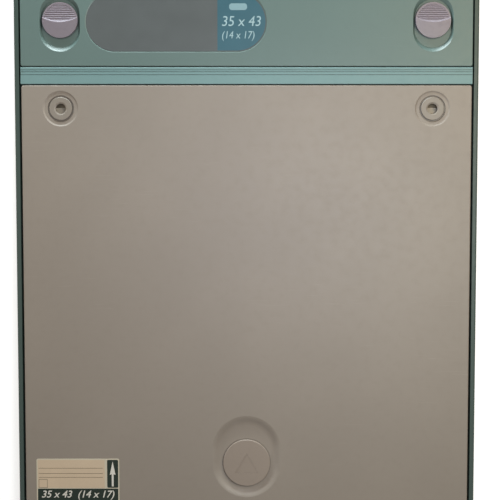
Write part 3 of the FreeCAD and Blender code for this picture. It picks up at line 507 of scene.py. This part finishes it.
def slab(bm, points, low, high):
    """Adds a flat outline, drawn up between two levels, to a mesh."""
    under = [bm.verts.new((x, y, low)) for x, y in points]
    over = [bm.verts.new((x, y, high)) for x, y in points]
    bm.faces.new(list(reversed(under)))
    bm.faces.new(over)
    count = len(points)
    for i in range(count):
        j = (i + 1) % count
        bm.faces.new((under[i], under[j], over[j], over[i]))


# The label in the corner: arrow field, number field and an empty form
label_low, label_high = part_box("info_label")
INK_THICKNESS = 0.02 * MM
INK_SINK = 0.004 * MM
LABEL_BORDER = 1.0 * MM
LABEL_CORNER = 1.0 * MM
ARROW_FIELD_WIDTH = 9.3 * MM
NUMBER_FIELD_HEIGHT = 12.4 * MM
FIELD_GAP = 0.7 * MM
ARROW_HEIGHT = 21.5 * MM
ARROW_HEAD_HEIGHT = 11.1 * MM
ARROW_HEAD_WIDTH = 4.8 * MM
ARROW_HEAD_SWEEP = 0.5 * MM
ARROW_SHAFT_WIDTH = 1.6 * MM
RULE_THICKNESS = 0.28 * MM
RULE_SHARES = (0.285, 0.467, 0.602)
RULE_END_GAP = 3.7 * MM
CODE_BOX = 7.3 * MM
FORM_MARGIN = 0.8 * MM
FORM_END_GAP = 2.0 * MM
LABEL_FIGURE_HEIGHT = 8.0 * MM
LABEL_FIGURE_SHIFT = 0.6 * MM
LABEL_FIGURE_SLANT = 0.25
LABEL_FIGURE_BOLD = 0.012
FIGURE_CURVE_STEPS = 4
FIGURE_BLOCK_HALF = 0.5  # figures are drawn one unit thick, then flattened


def print_layer(name, outlines, level, material):
    """A thin layer of ink with one outline or more."""
    bm = bmesh.new()
    for points in outlines:
        slab(bm, points, level - INK_SINK, level + INK_THICKNESS)
    bmesh.ops.recalc_face_normals(bm, faces=bm.faces)
    return piece_from(bm, name, material, "lid")


def box_outline(x0, x1, y0, y1):
    """The four corners of a rectangle."""
    return [(x0, y0), (x1, y0), (x1, y1), (x0, y1)]


def frame_outlines(x0, x1, y0, y1, line):
    """Four thin rectangles that make an open frame."""
    return [box_outline(x0, x1, y0, y0 + line), box_outline(x0, x1, y1 - line, y1),
            box_outline(x0, x0 + line, y0 + line, y1 - line),
            box_outline(x1 - line, x1, y0 + line, y1 - line)]


def arrow_outline(x, y0):
    """An upright arrow on a centre line, from its foot."""
    half_head, half_shaft = ARROW_HEAD_WIDTH / 2, ARROW_SHAFT_WIDTH / 2
    neck, tip = y0 + ARROW_HEIGHT - ARROW_HEAD_HEIGHT, y0 + ARROW_HEIGHT
    return [(x - half_shaft, y0), (x + half_shaft, y0), (x + half_shaft, neck),
            (x + half_head, neck - ARROW_HEAD_SWEEP), (x, tip),
            (x - half_head, neck - ARROW_HEAD_SWEEP), (x - half_shaft, neck)]


def figures(name, words, height, x, y, level, material, slant, squeeze=1.0, bold=0.0):
    """Plain printed figures of a height, centred on a point."""
    curve = bpy.data.curves.new(name, "FONT")
    curve.body = words
    curve.align_x, curve.align_y = "CENTER", "CENTER"
    curve.shear = slant
    curve.offset = bold
    curve.extrude = FIGURE_BLOCK_HALF
    curve.resolution_u = FIGURE_CURVE_STEPS
    draft = bpy.data.objects.new(name, curve)
    bpy.context.scene.collection.objects.link(draft)
    mesh = plain_mesh(draft)
    low = [min(v.co[i] for v in mesh.vertices) for i in range(2)]
    high = [max(v.co[i] for v in mesh.vertices) for i in range(2)]
    size = height / (high[1] - low[1])
    centre = Vector(((low[0] + high[0]) / 2, (low[1] + high[1]) / 2, 0.0))
    mesh.transform(Matrix.Translation(-centre))
    mesh.transform(Matrix.Diagonal((size * squeeze, size, INK_THICKNESS + INK_SINK, 1.0)))
    middle = level + (INK_THICKNESS - INK_SINK) / 2
    mesh.transform(Matrix.Translation((x, y, middle)))
    mesh.validate()
    return piece_of(mesh, name, material, "lid")


def label_prints():
    """The print on the paper label."""
    x0, x1 = label_low.x + LABEL_BORDER, label_high.x - LABEL_BORDER
    y0, y1 = label_low.y + LABEL_BORDER, label_high.y - LABEL_BORDER
    level = label_high.z
    green = ink("ink_green", LABEL_GREEN)
    white = ink("ink_white", INK_WHITE)
    brown = ink("ink_brown", INK_BROWN)
    field_x = x1 - ARROW_FIELD_WIDTH
    field_y = y0 + NUMBER_FIELD_HEIGHT
    fields = [round_corners(field_x, x1, field_y + FIELD_GAP, y1, LABEL_CORNER),
              round_corners(x0, x1, y0, field_y, LABEL_CORNER / 2)]
    print_layer("label_fields", fields, level, green)
    form = round_corners(x0, field_x - FORM_END_GAP, field_y + FIELD_GAP, y1, LABEL_CORNER / 2)
    print_layer("label_form", [form], level, paper("form_beige", FORM_BEIGE))
    arrow_x = field_x + ARROW_FIELD_WIDTH / 2
    arrow_y = (field_y + FIELD_GAP + y1 - ARROW_HEIGHT) / 2
    print_layer("label_arrow", [arrow_outline(arrow_x, arrow_y)],
                level + INK_THICKNESS, white)
    form_x0, form_x1 = x0 + FORM_MARGIN, field_x - RULE_END_GAP
    form_height = y1 - field_y
    rules = []
    for share in RULE_SHARES:
        y = y1 - share * form_height
        rules.append(box_outline(form_x0, form_x1, y - RULE_THICKNESS, y))
    rules += frame_outlines(form_x0, form_x0 + CODE_BOX, field_y + FORM_MARGIN,
                            field_y + FORM_MARGIN + CODE_BOX, RULE_THICKNESS)
    print_layer("label_rules", rules, level + INK_THICKNESS, brown)
    figures("label_figures", "35 x 43  (14 x 17)", LABEL_FIGURE_HEIGHT, (x0 + x1) / 2,
            (y0 + field_y) / 2 + LABEL_FIGURE_SHIFT, level + INK_THICKNESS, white,
            LABEL_FIGURE_SLANT, bold=LABEL_FIGURE_BOLD)


label_prints()

# The name plate: a blue field at its right end, with figures and a bare tab
name_low, name_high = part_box("name_plate")
BLUE_FIELD_START = -24.0 * MM
BLUE_FIELD_STEPS = 40
FILM_EDGE = 0.6 * MM
FIGURE_SLANT = 0.15
FIGURE_HEIGHT = 8.2 * MM
FIGURE_RISE = 0.7 * MM
FIGURE_SQUEEZE = 0.92
SECOND_HEIGHT = 8.0 * MM
SECOND_DROP = 11.5 * MM
SECOND_SHIFT = -2.6 * MM
SECOND_SQUEEZE = 0.86
TAB_LENGTH = 14.8 * MM
TAB_HEIGHT = 5.5 * MM
TAB_CORNER = 0.42 * TAB_HEIGHT
TAB_RISE = 12.4 * MM
TAB_SHIFT = -2.8 * MM


def name_plate_prints():
    """The blue field, the figures and the tab."""
    radius = (name_high.y - name_low.y) / 2 - FILM_EDGE
    middle_y = (name_high.y + name_low.y) / 2
    end_x = name_high.x - FILM_EDGE - radius
    outline = [(BLUE_FIELD_START, middle_y + radius), (BLUE_FIELD_START, middle_y - radius)]
    for step in range(BLUE_FIELD_STEPS + 1):
        angle = (step / BLUE_FIELD_STEPS - 0.5) * math.pi
        outline.append((end_x + radius * math.cos(angle), middle_y + radius * math.sin(angle)))
    level = name_high.z
    print_layer("name_plate_field", [outline], level, printed_film("film_blue", FILM_BLUE))
    level += INK_THICKNESS
    pale = ink("ink_blue_white", INK_BLUE_WHITE)
    centre_x = (BLUE_FIELD_START + end_x + radius) / 2
    figures("name_plate_figures", "35 x 43", FIGURE_HEIGHT, centre_x, middle_y + FIGURE_RISE,
            level, pale, FIGURE_SLANT, FIGURE_SQUEEZE)
    figures("name_plate_figures_low", "(14 x 17)", SECOND_HEIGHT, centre_x + SECOND_SHIFT,
            middle_y - SECOND_DROP, level, pale, FIGURE_SLANT, SECOND_SQUEEZE)
    tab_x = centre_x + TAB_SHIFT
    tab_y = middle_y + TAB_RISE
    tab = round_corners(tab_x - TAB_LENGTH / 2, tab_x + TAB_LENGTH / 2,
                        tab_y - TAB_HEIGHT / 2, tab_y + TAB_HEIGHT / 2, TAB_CORNER)
    print_layer("name_plate_tab", [tab], level, ink("tab_blue", TAB_BLUE))


name_plate_prints()

# Soft pieces inside: fleece under the plate, pressure foam and the felt light seal
SHEET_STEP = 6 * MM
SHEET_CORNER = 4 * MM
SHEET_CORNER_STEPS = 5
SHEET_EDGE_STEPS = 3
EDGE_FADE = 4
STEEP = 0.5


def soft_slab(name, node, edge, sink, patch, material, body):
    """A soft sheet with rounded edges whose faces are sunk a little, unevenly."""
    low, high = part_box(node)
    middle = (low + high) / 2
    width, length = high.x - low.x, high.y - low.y
    bm = bmesh.new()
    bmesh.ops.create_grid(bm, x_segments=max(2, round(width / SHEET_STEP)),
                          y_segments=max(2, round(length / SHEET_STEP)), size=0.5)
    for vert in bm.verts:
        vert.co.x = middle.x + vert.co.x * width
        vert.co.y = middle.y + vert.co.y * length
        vert.co.z = high.z
    made = bmesh.ops.extrude_face_region(bm, geom=list(bm.faces))
    for item in made["geom"]:
        if isinstance(item, bmesh.types.BMVert):
            item.co.z = low.z
    bmesh.ops.recalc_face_normals(bm, faces=bm.faces)
    corners = [e for e in bm.edges if abs(e.verts[0].co.z - e.verts[1].co.z) > edge
               and len([f for f in e.link_faces if abs(f.normal.z) < STEEP]) == 2
               and abs(e.link_faces[0].normal.dot(e.link_faces[1].normal)) < STEEP]
    bmesh.ops.bevel(bm, geom=corners, offset=SHEET_CORNER, segments=SHEET_CORNER_STEPS,
                    affect="EDGES", profile=0.5)
    rims = [e for e in bm.edges if len(e.link_faces) == 2
            and abs(abs(e.link_faces[0].normal.z) - abs(e.link_faces[1].normal.z)) > STEEP]
    bmesh.ops.bevel(bm, geom=rims, offset=edge, segments=SHEET_EDGE_STEPS, affect="EDGES",
                    profile=0.5)
    for vert in bm.verts:
        inset = min(vert.co.x - low.x, high.x - vert.co.x, vert.co.y - low.y,
                    high.y - vert.co.y)
        fade = min(1.0, max(0.0, inset / (EDGE_FADE * edge)))
        uneven = abs(noise.noise(vert.co / patch)) * sink * fade
        inward = -1 if vert.co.z > middle.z else 1
        vert.co.z += inward * (sink * fade + uneven) / 2
    for face in bm.faces:
        face.smooth = True
    return piece_from(bm, name, material, body, (node,))


soft_slab("plate_fleece", "front_liner", edge=0.2 * MM, sink=0.05 * MM, patch=40 * MM,
          material=fibrous("liner_fleece", FLEECE_BLACK, fibre=0.8 * MM, depth=0.1 * MM),
          body="frame")
foam = soft_slab("pressure_pad", "pressure_foam", edge=0.8 * MM, sink=0.25 * MM, patch=55 * MM,
                 material=open_cell_foam(), body="lid")

SEAL_STEP = 2.5 * MM
SEAL_NAP = 0.06 * MM
SEAL_NAP_SIZE = 3 * MM
SEAL_WIDTH = 3.2 * MM
SEAL_MITRE_LIMIT = 0.5
SEAL_SECTION_SHARES = ((-0.5, 0.0), (-0.5, 0.55), (-0.42, 0.9), (-0.2, 1.0), (0.2, 1.0),
                       (0.42, 0.9), (0.5, 0.55), (0.5, 0.0))


def light_seal_strip():
    """A felt strip round three sides of the ledge, with a crowned top."""
    low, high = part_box("light_seal")
    half = SEAL_WIDTH / 2
    path = [Vector((low.x + half, low.y, 0)), Vector((low.x + half, high.y - half, 0)),
            Vector((high.x - half, high.y - half, 0)), Vector((high.x - half, low.y, 0))]
    stations = []
    for start, end in zip(path, path[1:]):
        count = round((end - start).length / SEAL_STEP)
        stations += [start.lerp(end, step / count) for step in range(count)]
    stations.append(path[-1])
    bm = bmesh.new()
    rings = []
    for index, station in enumerate(stations):
        before = stations[max(0, index - 1)]
        after = stations[min(len(stations) - 1, index + 1)]
        into = (station - before).normalized() if index else (after - station).normalized()
        out = (after - station).normalized() if after != station else into
        along = (into + out).normalized()
        side = Vector((along.y, -along.x, 0)) / max(SEAL_MITRE_LIMIT, along.dot(into))
        ring = []
        for across, up in SEAL_SECTION_SHARES:
            point = station + side * across * SEAL_WIDTH
            nap = noise.noise(point / SEAL_NAP_SIZE + Vector((0, 0, up))) * SEAL_NAP
            point.z = low.z + up * (high.z - low.z - SEAL_NAP) + up * abs(nap)
            ring.append(bm.verts.new(point))
        rings.append(ring)
    for first, second in zip(rings, rings[1:]):
        for i in range(len(first)):
            j = (i + 1) % len(first)
            bm.faces.new((first[i], first[j], second[j], second[i]))
    bm.faces.new(rings[0])
    bm.faces.new(list(reversed(rings[-1])))
    bmesh.ops.recalc_face_normals(bm, faces=bm.faces)
    for face in bm.faces:
        face.smooth = True
    felt = fibrous("seal_felt", FELT_BLACK, fibre=0.5 * MM, depth=0.08 * MM)
    return piece_from(bm, "seal_strip", felt, "frame", ("light_seal",))


light_seal_strip()


class Tree(Nodes):
    """A geometry node tree with a named input for each of its sizes."""

    def __init__(self, name, labels):
        super().__init__(bpy.data.node_groups.new(name, "GeometryNodeTree"))
        self.socket("Geometry", "INPUT", "NodeSocketGeometry")
        self.sizes = {label: self.socket(label, "INPUT", "NodeSocketFloat")
                      for label in labels}
        self.socket("Geometry", "OUTPUT", "NodeSocketGeometry")
        self.given = self.node("NodeGroupInput")

    def socket(self, label, direction, kind):
        """Adds an input or an output to the tree as a whole."""
        return self.tree.interface.new_socket(label, in_out=direction, socket_type=kind)

    def value(self, label):
        """The socket of a named input."""
        return self.given.outputs[label]

    def close(self, geometry, material):
        """Ends the tree in Realize Instances and Set Material."""
        real = self.node("GeometryNodeRealizeInstances", {"Geometry": geometry})
        painted = self.node("GeometryNodeSetMaterial", {
            "Geometry": real.outputs["Geometry"], "Material": material})
        self.node("NodeGroupOutput", {"Geometry": painted.outputs["Geometry"]})

    def grown(self, base, values):
        """The plain mesh that the tree makes out of a base mesh."""
        draft = bpy.data.objects.new("draft", base)
        bpy.context.scene.collection.objects.link(draft)
        modifier = draft.modifiers.new("build", "NODES")
        modifier.node_group = self.tree
        for label, value in values.items():
            modifier[self.sizes[label].identifier] = value
        return plain_mesh(draft)


MERGE_DISTANCE = 0.001 * MM


def solids_of(name):
    """The lowest and highest corners of each separate solid in a CAD node."""
    bm = bmesh.new()
    bm.from_mesh(nodes[name].data)
    bmesh.ops.remove_doubles(bm, verts=bm.verts, dist=MERGE_DISTANCE)
    boxes, seen = [], set()
    for vert in bm.verts:
        if vert in seen:
            continue
        group, waiting = [], [vert]
        seen.add(vert)
        while waiting:
            current = waiting.pop()
            group.append(current.co.copy())
            for edge in current.link_edges:
                other = edge.other_vert(current)
                if other not in seen:
                    seen.add(other)
                    waiting.append(other)
        boxes.append((Vector([min(p[i] for p in group) for i in range(3)]),
                      Vector([max(p[i] for p in group) for i in range(3)])))
    bm.free()
    return boxes


def points_mesh(points):
    """A mesh that holds only points."""
    mesh = bpy.data.meshes.new("points")
    mesh.from_pydata([tuple(p) for p in points], [], [])
    return mesh


# Countersunk screws with a cross recess
LID_SCREW = {"Head radius": 2.2 * MM, "Shank radius": 1.1 * MM, "Head height": 1.0 * MM,
             "Length": 5.0 * MM, "Recess length": 2.4 * MM, "Recess width": 0.55 * MM,
             "Recess depth": 0.7 * MM}
STRIKE_SCREW = {"Head radius": 1.5 * MM, "Shank radius": 0.8 * MM, "Head height": 0.7 * MM,
                "Length": 2.8 * MM, "Recess length": 1.7 * MM, "Recess width": 0.4 * MM,
                "Recess depth": 0.45 * MM}
SCREW_SIDES = 28


def screw_tree():
    """A row of screws, heads down, one on each point."""
    tree = Tree("screws", LID_SCREW)
    head = tree.node("GeometryNodeMeshCone", {
        "Vertices": SCREW_SIDES, "Radius Top": tree.value("Shank radius"),
        "Radius Bottom": tree.value("Head radius"), "Depth": tree.value("Head height")})
    shank = tree.node("GeometryNodeMeshCylinder", {
        "Vertices": SCREW_SIDES, "Radius": tree.value("Shank radius"),
        "Depth": tree.value("Length")})
    raised = tree.node("ShaderNodeCombineXYZ", {
        "Z": tree.math("MULTIPLY", tree.value("Length"), 0.5)})
    shank = tree.node("GeometryNodeTransform", {
        "Geometry": shank.outputs["Mesh"], "Translation": raised.outputs[0]})
    body = tree.node("GeometryNodeMeshBoolean", operation="UNION", solver="EXACT")
    tree.set_input(body, "Mesh 2", head.outputs["Mesh"])
    tree.set_input(body, "Mesh 2", shank.outputs["Geometry"])
    cut = tree.node("GeometryNodeMeshBoolean", {"Mesh 1": body.outputs["Mesh"]},
                    operation="DIFFERENCE", solver="EXACT")
    cut_height = tree.math("MULTIPLY", tree.value("Recess depth"), 2.0)
    for x_label, y_label in (("Recess length", "Recess width"),
                             ("Recess width", "Recess length")):
        size = tree.node("ShaderNodeCombineXYZ", {
            "X": tree.value(x_label), "Y": tree.value(y_label), "Z": cut_height})
        bar = tree.node("GeometryNodeMeshCube", {"Size": size.outputs[0]})
        tree.set_input(cut, "Mesh 2", bar.outputs["Mesh"])
    rows = tree.node("GeometryNodeInstanceOnPoints", {
        "Points": tree.value("Geometry"), "Instance": cut.outputs["Mesh"]})
    tree.close(rows.outputs["Instances"], steel)
    return tree


def fit_screws():
    """Screws in the inner plate and in the strike plates."""
    tree = screw_tree()
    places = [(low + high) / 2 for low, high in solids_of("lid_screws")]
    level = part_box("lid_screws")[0].z
    mesh = tree.grown(points_mesh([(p.x, p.y, level) for p in places]), LID_SCREW)
    piece_of(mesh, "plate_screws", steel, "lid", ("lid_screws",))
    places = [(low + high) / 2 for low, high in solids_of("strike_screws")]
    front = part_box("strike_screws")[0].y
    turn = Matrix.Rotation(-math.pi / 2, 4, "X")
    spots = [turn.inverted() @ Vector((p.x, front, p.z)) for p in places]
    mesh = tree.grown(points_mesh(spots), STRIKE_SCREW)
    mesh.transform(turn)
    piece_of(mesh, "strike_plate_screws", steel, "frame", ("strike_screws",))


fit_screws()

# Compression springs with closed ends. Each takes its length from its node's box.
SPRING = {"Turns": 8.5, "Wire radius": 0.34 * MM, "Coil radius": 1.55 * MM, "Length": 0.0}
SPRING_END_SHARE = 0.12
SPRING_END_RISE = 0.05
SPRING_STEPS = 20
WIRE_SIDES = 10


def spring_tree():
    """A coil along Z whose end turns lie close together."""
    tree = Tree("spring", SPRING)
    coil = tree.node("GeometryNodeCurveSpiral", {
        "Resolution": SPRING_STEPS, "Rotations": tree.value("Turns"),
        "Start Radius": tree.value("Coil radius"), "End Radius": tree.value("Coil radius"),
        "Height": tree.value("Length")})
    share = tree.node("GeometryNodeSplineParameter").outputs["Factor"]
    rise = tree.node("ShaderNodeFloatCurve", {"Value": share})
    curve = rise.mapping.curves[0]
    curve.points.new(SPRING_END_SHARE, SPRING_END_RISE)
    curve.points.new(1 - SPRING_END_SHARE, 1 - SPRING_END_RISE)
    rise.mapping.update()
    place = tree.node("ShaderNodeSeparateXYZ", {
        "Vector": tree.node("GeometryNodeInputPosition").outputs[0]})
    moved = tree.node("ShaderNodeCombineXYZ", {
        "X": place.outputs[0], "Y": place.outputs[1],
        "Z": tree.math("MULTIPLY", rise.outputs[0], tree.value("Length"))})
    closed = tree.node("GeometryNodeSetPosition", {
        "Geometry": coil.outputs["Curve"], "Position": moved.outputs[0]})
    wire = tree.node("GeometryNodeCurvePrimitiveCircle", {
        "Resolution": WIRE_SIDES, "Radius": tree.value("Wire radius")})
    tube = tree.node("GeometryNodeCurveToMesh", {
        "Curve": closed.outputs["Geometry"], "Profile Curve": wire.outputs["Curve"],
        "Fill Caps": True})
    tree.close(tube.outputs["Mesh"], steel)
    return tree


def fit_springs():
    """The three return springs, along Y, each carried on the body of its slide."""
    tree = spring_tree()
    for node, body in (("lock_spring_left", "left_lock"), ("lock_spring_right", "right_lock"),
                       ("release_spring", "hinge_release")):
        low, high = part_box(node)
        middle = (low + high) / 2
        wire = SPRING["Wire radius"]
        sizes = {**SPRING, "Length": high.y - low.y - 2 * wire}
        mesh = tree.grown(points_mesh([]), sizes)
        mesh.transform(Matrix.Translation((middle.x, low.y + wire, middle.z))
                       @ Matrix.Rotation(-math.pi / 2, 4, "X"))
        coil = piece_of(mesh, node.replace("_spring", "_coil"), steel, body, (node,))
        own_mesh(coil)


fit_springs()

# Pale floor and soft studio light
FLOOR_HALF = 3.0
FLOOR_GAP = 0.2 * MM
FLOOR_ROUGHNESS = 0.9
FLOOR_GLOW = 0.68
ROOM_LIGHT = 0.12
LAMPS = (
    {"name": "window", "place": (-0.12, 0.7, 0.12), "aim": (0, 0.1, 0),
     "width": 0.6, "height": 0.16, "watts": 7.6, "colour": (239, 251, 255)},
    {"name": "lamp", "place": (0.24, 0.05, 0.6), "aim": (0.16, 0.03, 0),
     "width": 0.35, "height": 0.35, "watts": 1.4, "colour": (246, 255, 246)},
    {"name": "middle_lamp", "place": (0.05, 0.05, 0.45), "aim": (0.05, 0.05, 0),
     "width": 0.25, "height": 0.25, "watts": 0.55, "colour": (222, 224, 255)},
    {"name": "warm_lamp", "place": (0.45, 0.3, 0.6), "aim": (0.15, 0.1, 0),
     "width": 0.35, "height": 0.35, "watts": 1.1, "colour": (255, 214, 140)},
    {"name": "side_lamp", "place": (-0.45, 0.05, 0.3), "aim": (0, -0.17, 0),
     "width": 0.3, "height": 0.3, "watts": 0.2, "colour": (255, 228, 184)})


def seen_directly(maker):
    """1 for a ray from the camera, through glass or off a mirror, 0 for soft light."""
    path = maker.node("ShaderNodeLightPath")
    seen = path.outputs["Is Camera Ray"]
    for ray in ("Is Transmission Ray", "Is Glossy Ray"):
        seen = maker.math("MAXIMUM", seen, path.outputs[ray])
    return seen


def lay_floor():
    """A wide pale floor that looks white and keeps the shadow."""
    bm = bmesh.new()
    bmesh.ops.create_grid(bm, x_segments=1, y_segments=1, size=FLOOR_HALF)
    mesh = bpy.data.meshes.new("floor")
    bm.to_mesh(mesh)
    bm.free()
    mesh.transform(Matrix.Translation((0, 0, -FLOOR_GAP)))
    floor = bpy.data.objects.new("floor", mesh)
    bpy.context.scene.collection.objects.link(floor)
    finish = Finish("floor_white", FLOOR_WHITE, FLOOR_ROUGHNESS, {"Specular IOR Level": 0.0})
    glow = finish.node("ShaderNodeEmission", {
        "Color": paint(WHITE),
        "Strength": finish.math("MULTIPLY", seen_directly(finish), FLOOR_GLOW)})
    both = finish.node("ShaderNodeAddShader", {
        0: finish.shader.outputs[0], 1: glow.outputs[0]})
    finish.set_input(finish.tree.nodes["Material Output"], "Surface", both.outputs[0])
    mesh.materials.append(finish.material)


def soft_box(name, place, aim, width, height, watts, colour):
    """A rectangular lamp at a place, turned towards a point."""
    lamp = bpy.data.lights.new(name, "AREA")
    lamp.shape = "RECTANGLE"
    lamp.size, lamp.size_y = width, height
    lamp.energy = watts
    lamp.color = paint(colour)[:3]
    holder = bpy.data.objects.new(name, lamp)
    holder.location = place
    holder.rotation_euler = (Vector(aim) - Vector(place)).to_track_quat("-Z", "Y").to_euler()
    bpy.context.scene.collection.objects.link(holder)


def light_room():
    """An even room, a low window beyond the locked edge and four lamps above."""
    world = bpy.data.worlds.new("room")
    bpy.context.scene.world = world
    world.use_nodes = True
    maker = Nodes(world.node_tree)
    room = maker.tree.nodes["Background"]
    maker.set_input(room, "Color", paint(ROOM_COLOUR))
    maker.set_input(room, "Strength", ROOM_LIGHT)
    white = maker.node("ShaderNodeBackground", {"Color": paint(WHITE)})
    mix = maker.node("ShaderNodeMixShader", {
        0: seen_directly(maker), 1: room.outputs[0], 2: white.outputs[0]})
    maker.set_input(maker.tree.nodes["World Output"], "Surface", mix.outputs[0])
    for lamp in LAMPS:
        soft_box(**lamp)


lay_floor()
light_room()

# The camera looks down at the back, as the photograph does
CAMERA_DISTANCE = 800 * MM
CAMERA_TILT = 3.03
CAMERA_AIM = (2.85 * MM, 1.1 * MM, 15 * MM)
CAMERA_LENS = 69.09


def place_camera():
    """A camera above the cassette, a little nearer the locked edge and tipped back from it."""
    tilt = math.radians(CAMERA_TILT)
    data = bpy.data.cameras.new("camera")
    data.lens = CAMERA_LENS
    camera = bpy.data.objects.new("camera", data)
    camera.location = Vector(CAMERA_AIM) + CAMERA_DISTANCE * Vector(
        (0, math.sin(tilt), math.cos(tilt)))
    camera.rotation_euler = (-tilt, 0, 0)
    bpy.context.scene.collection.objects.link(camera)
    bpy.context.scene.camera = camera


place_camera()
bpy.context.scene.view_settings.view_transform = "Standard"
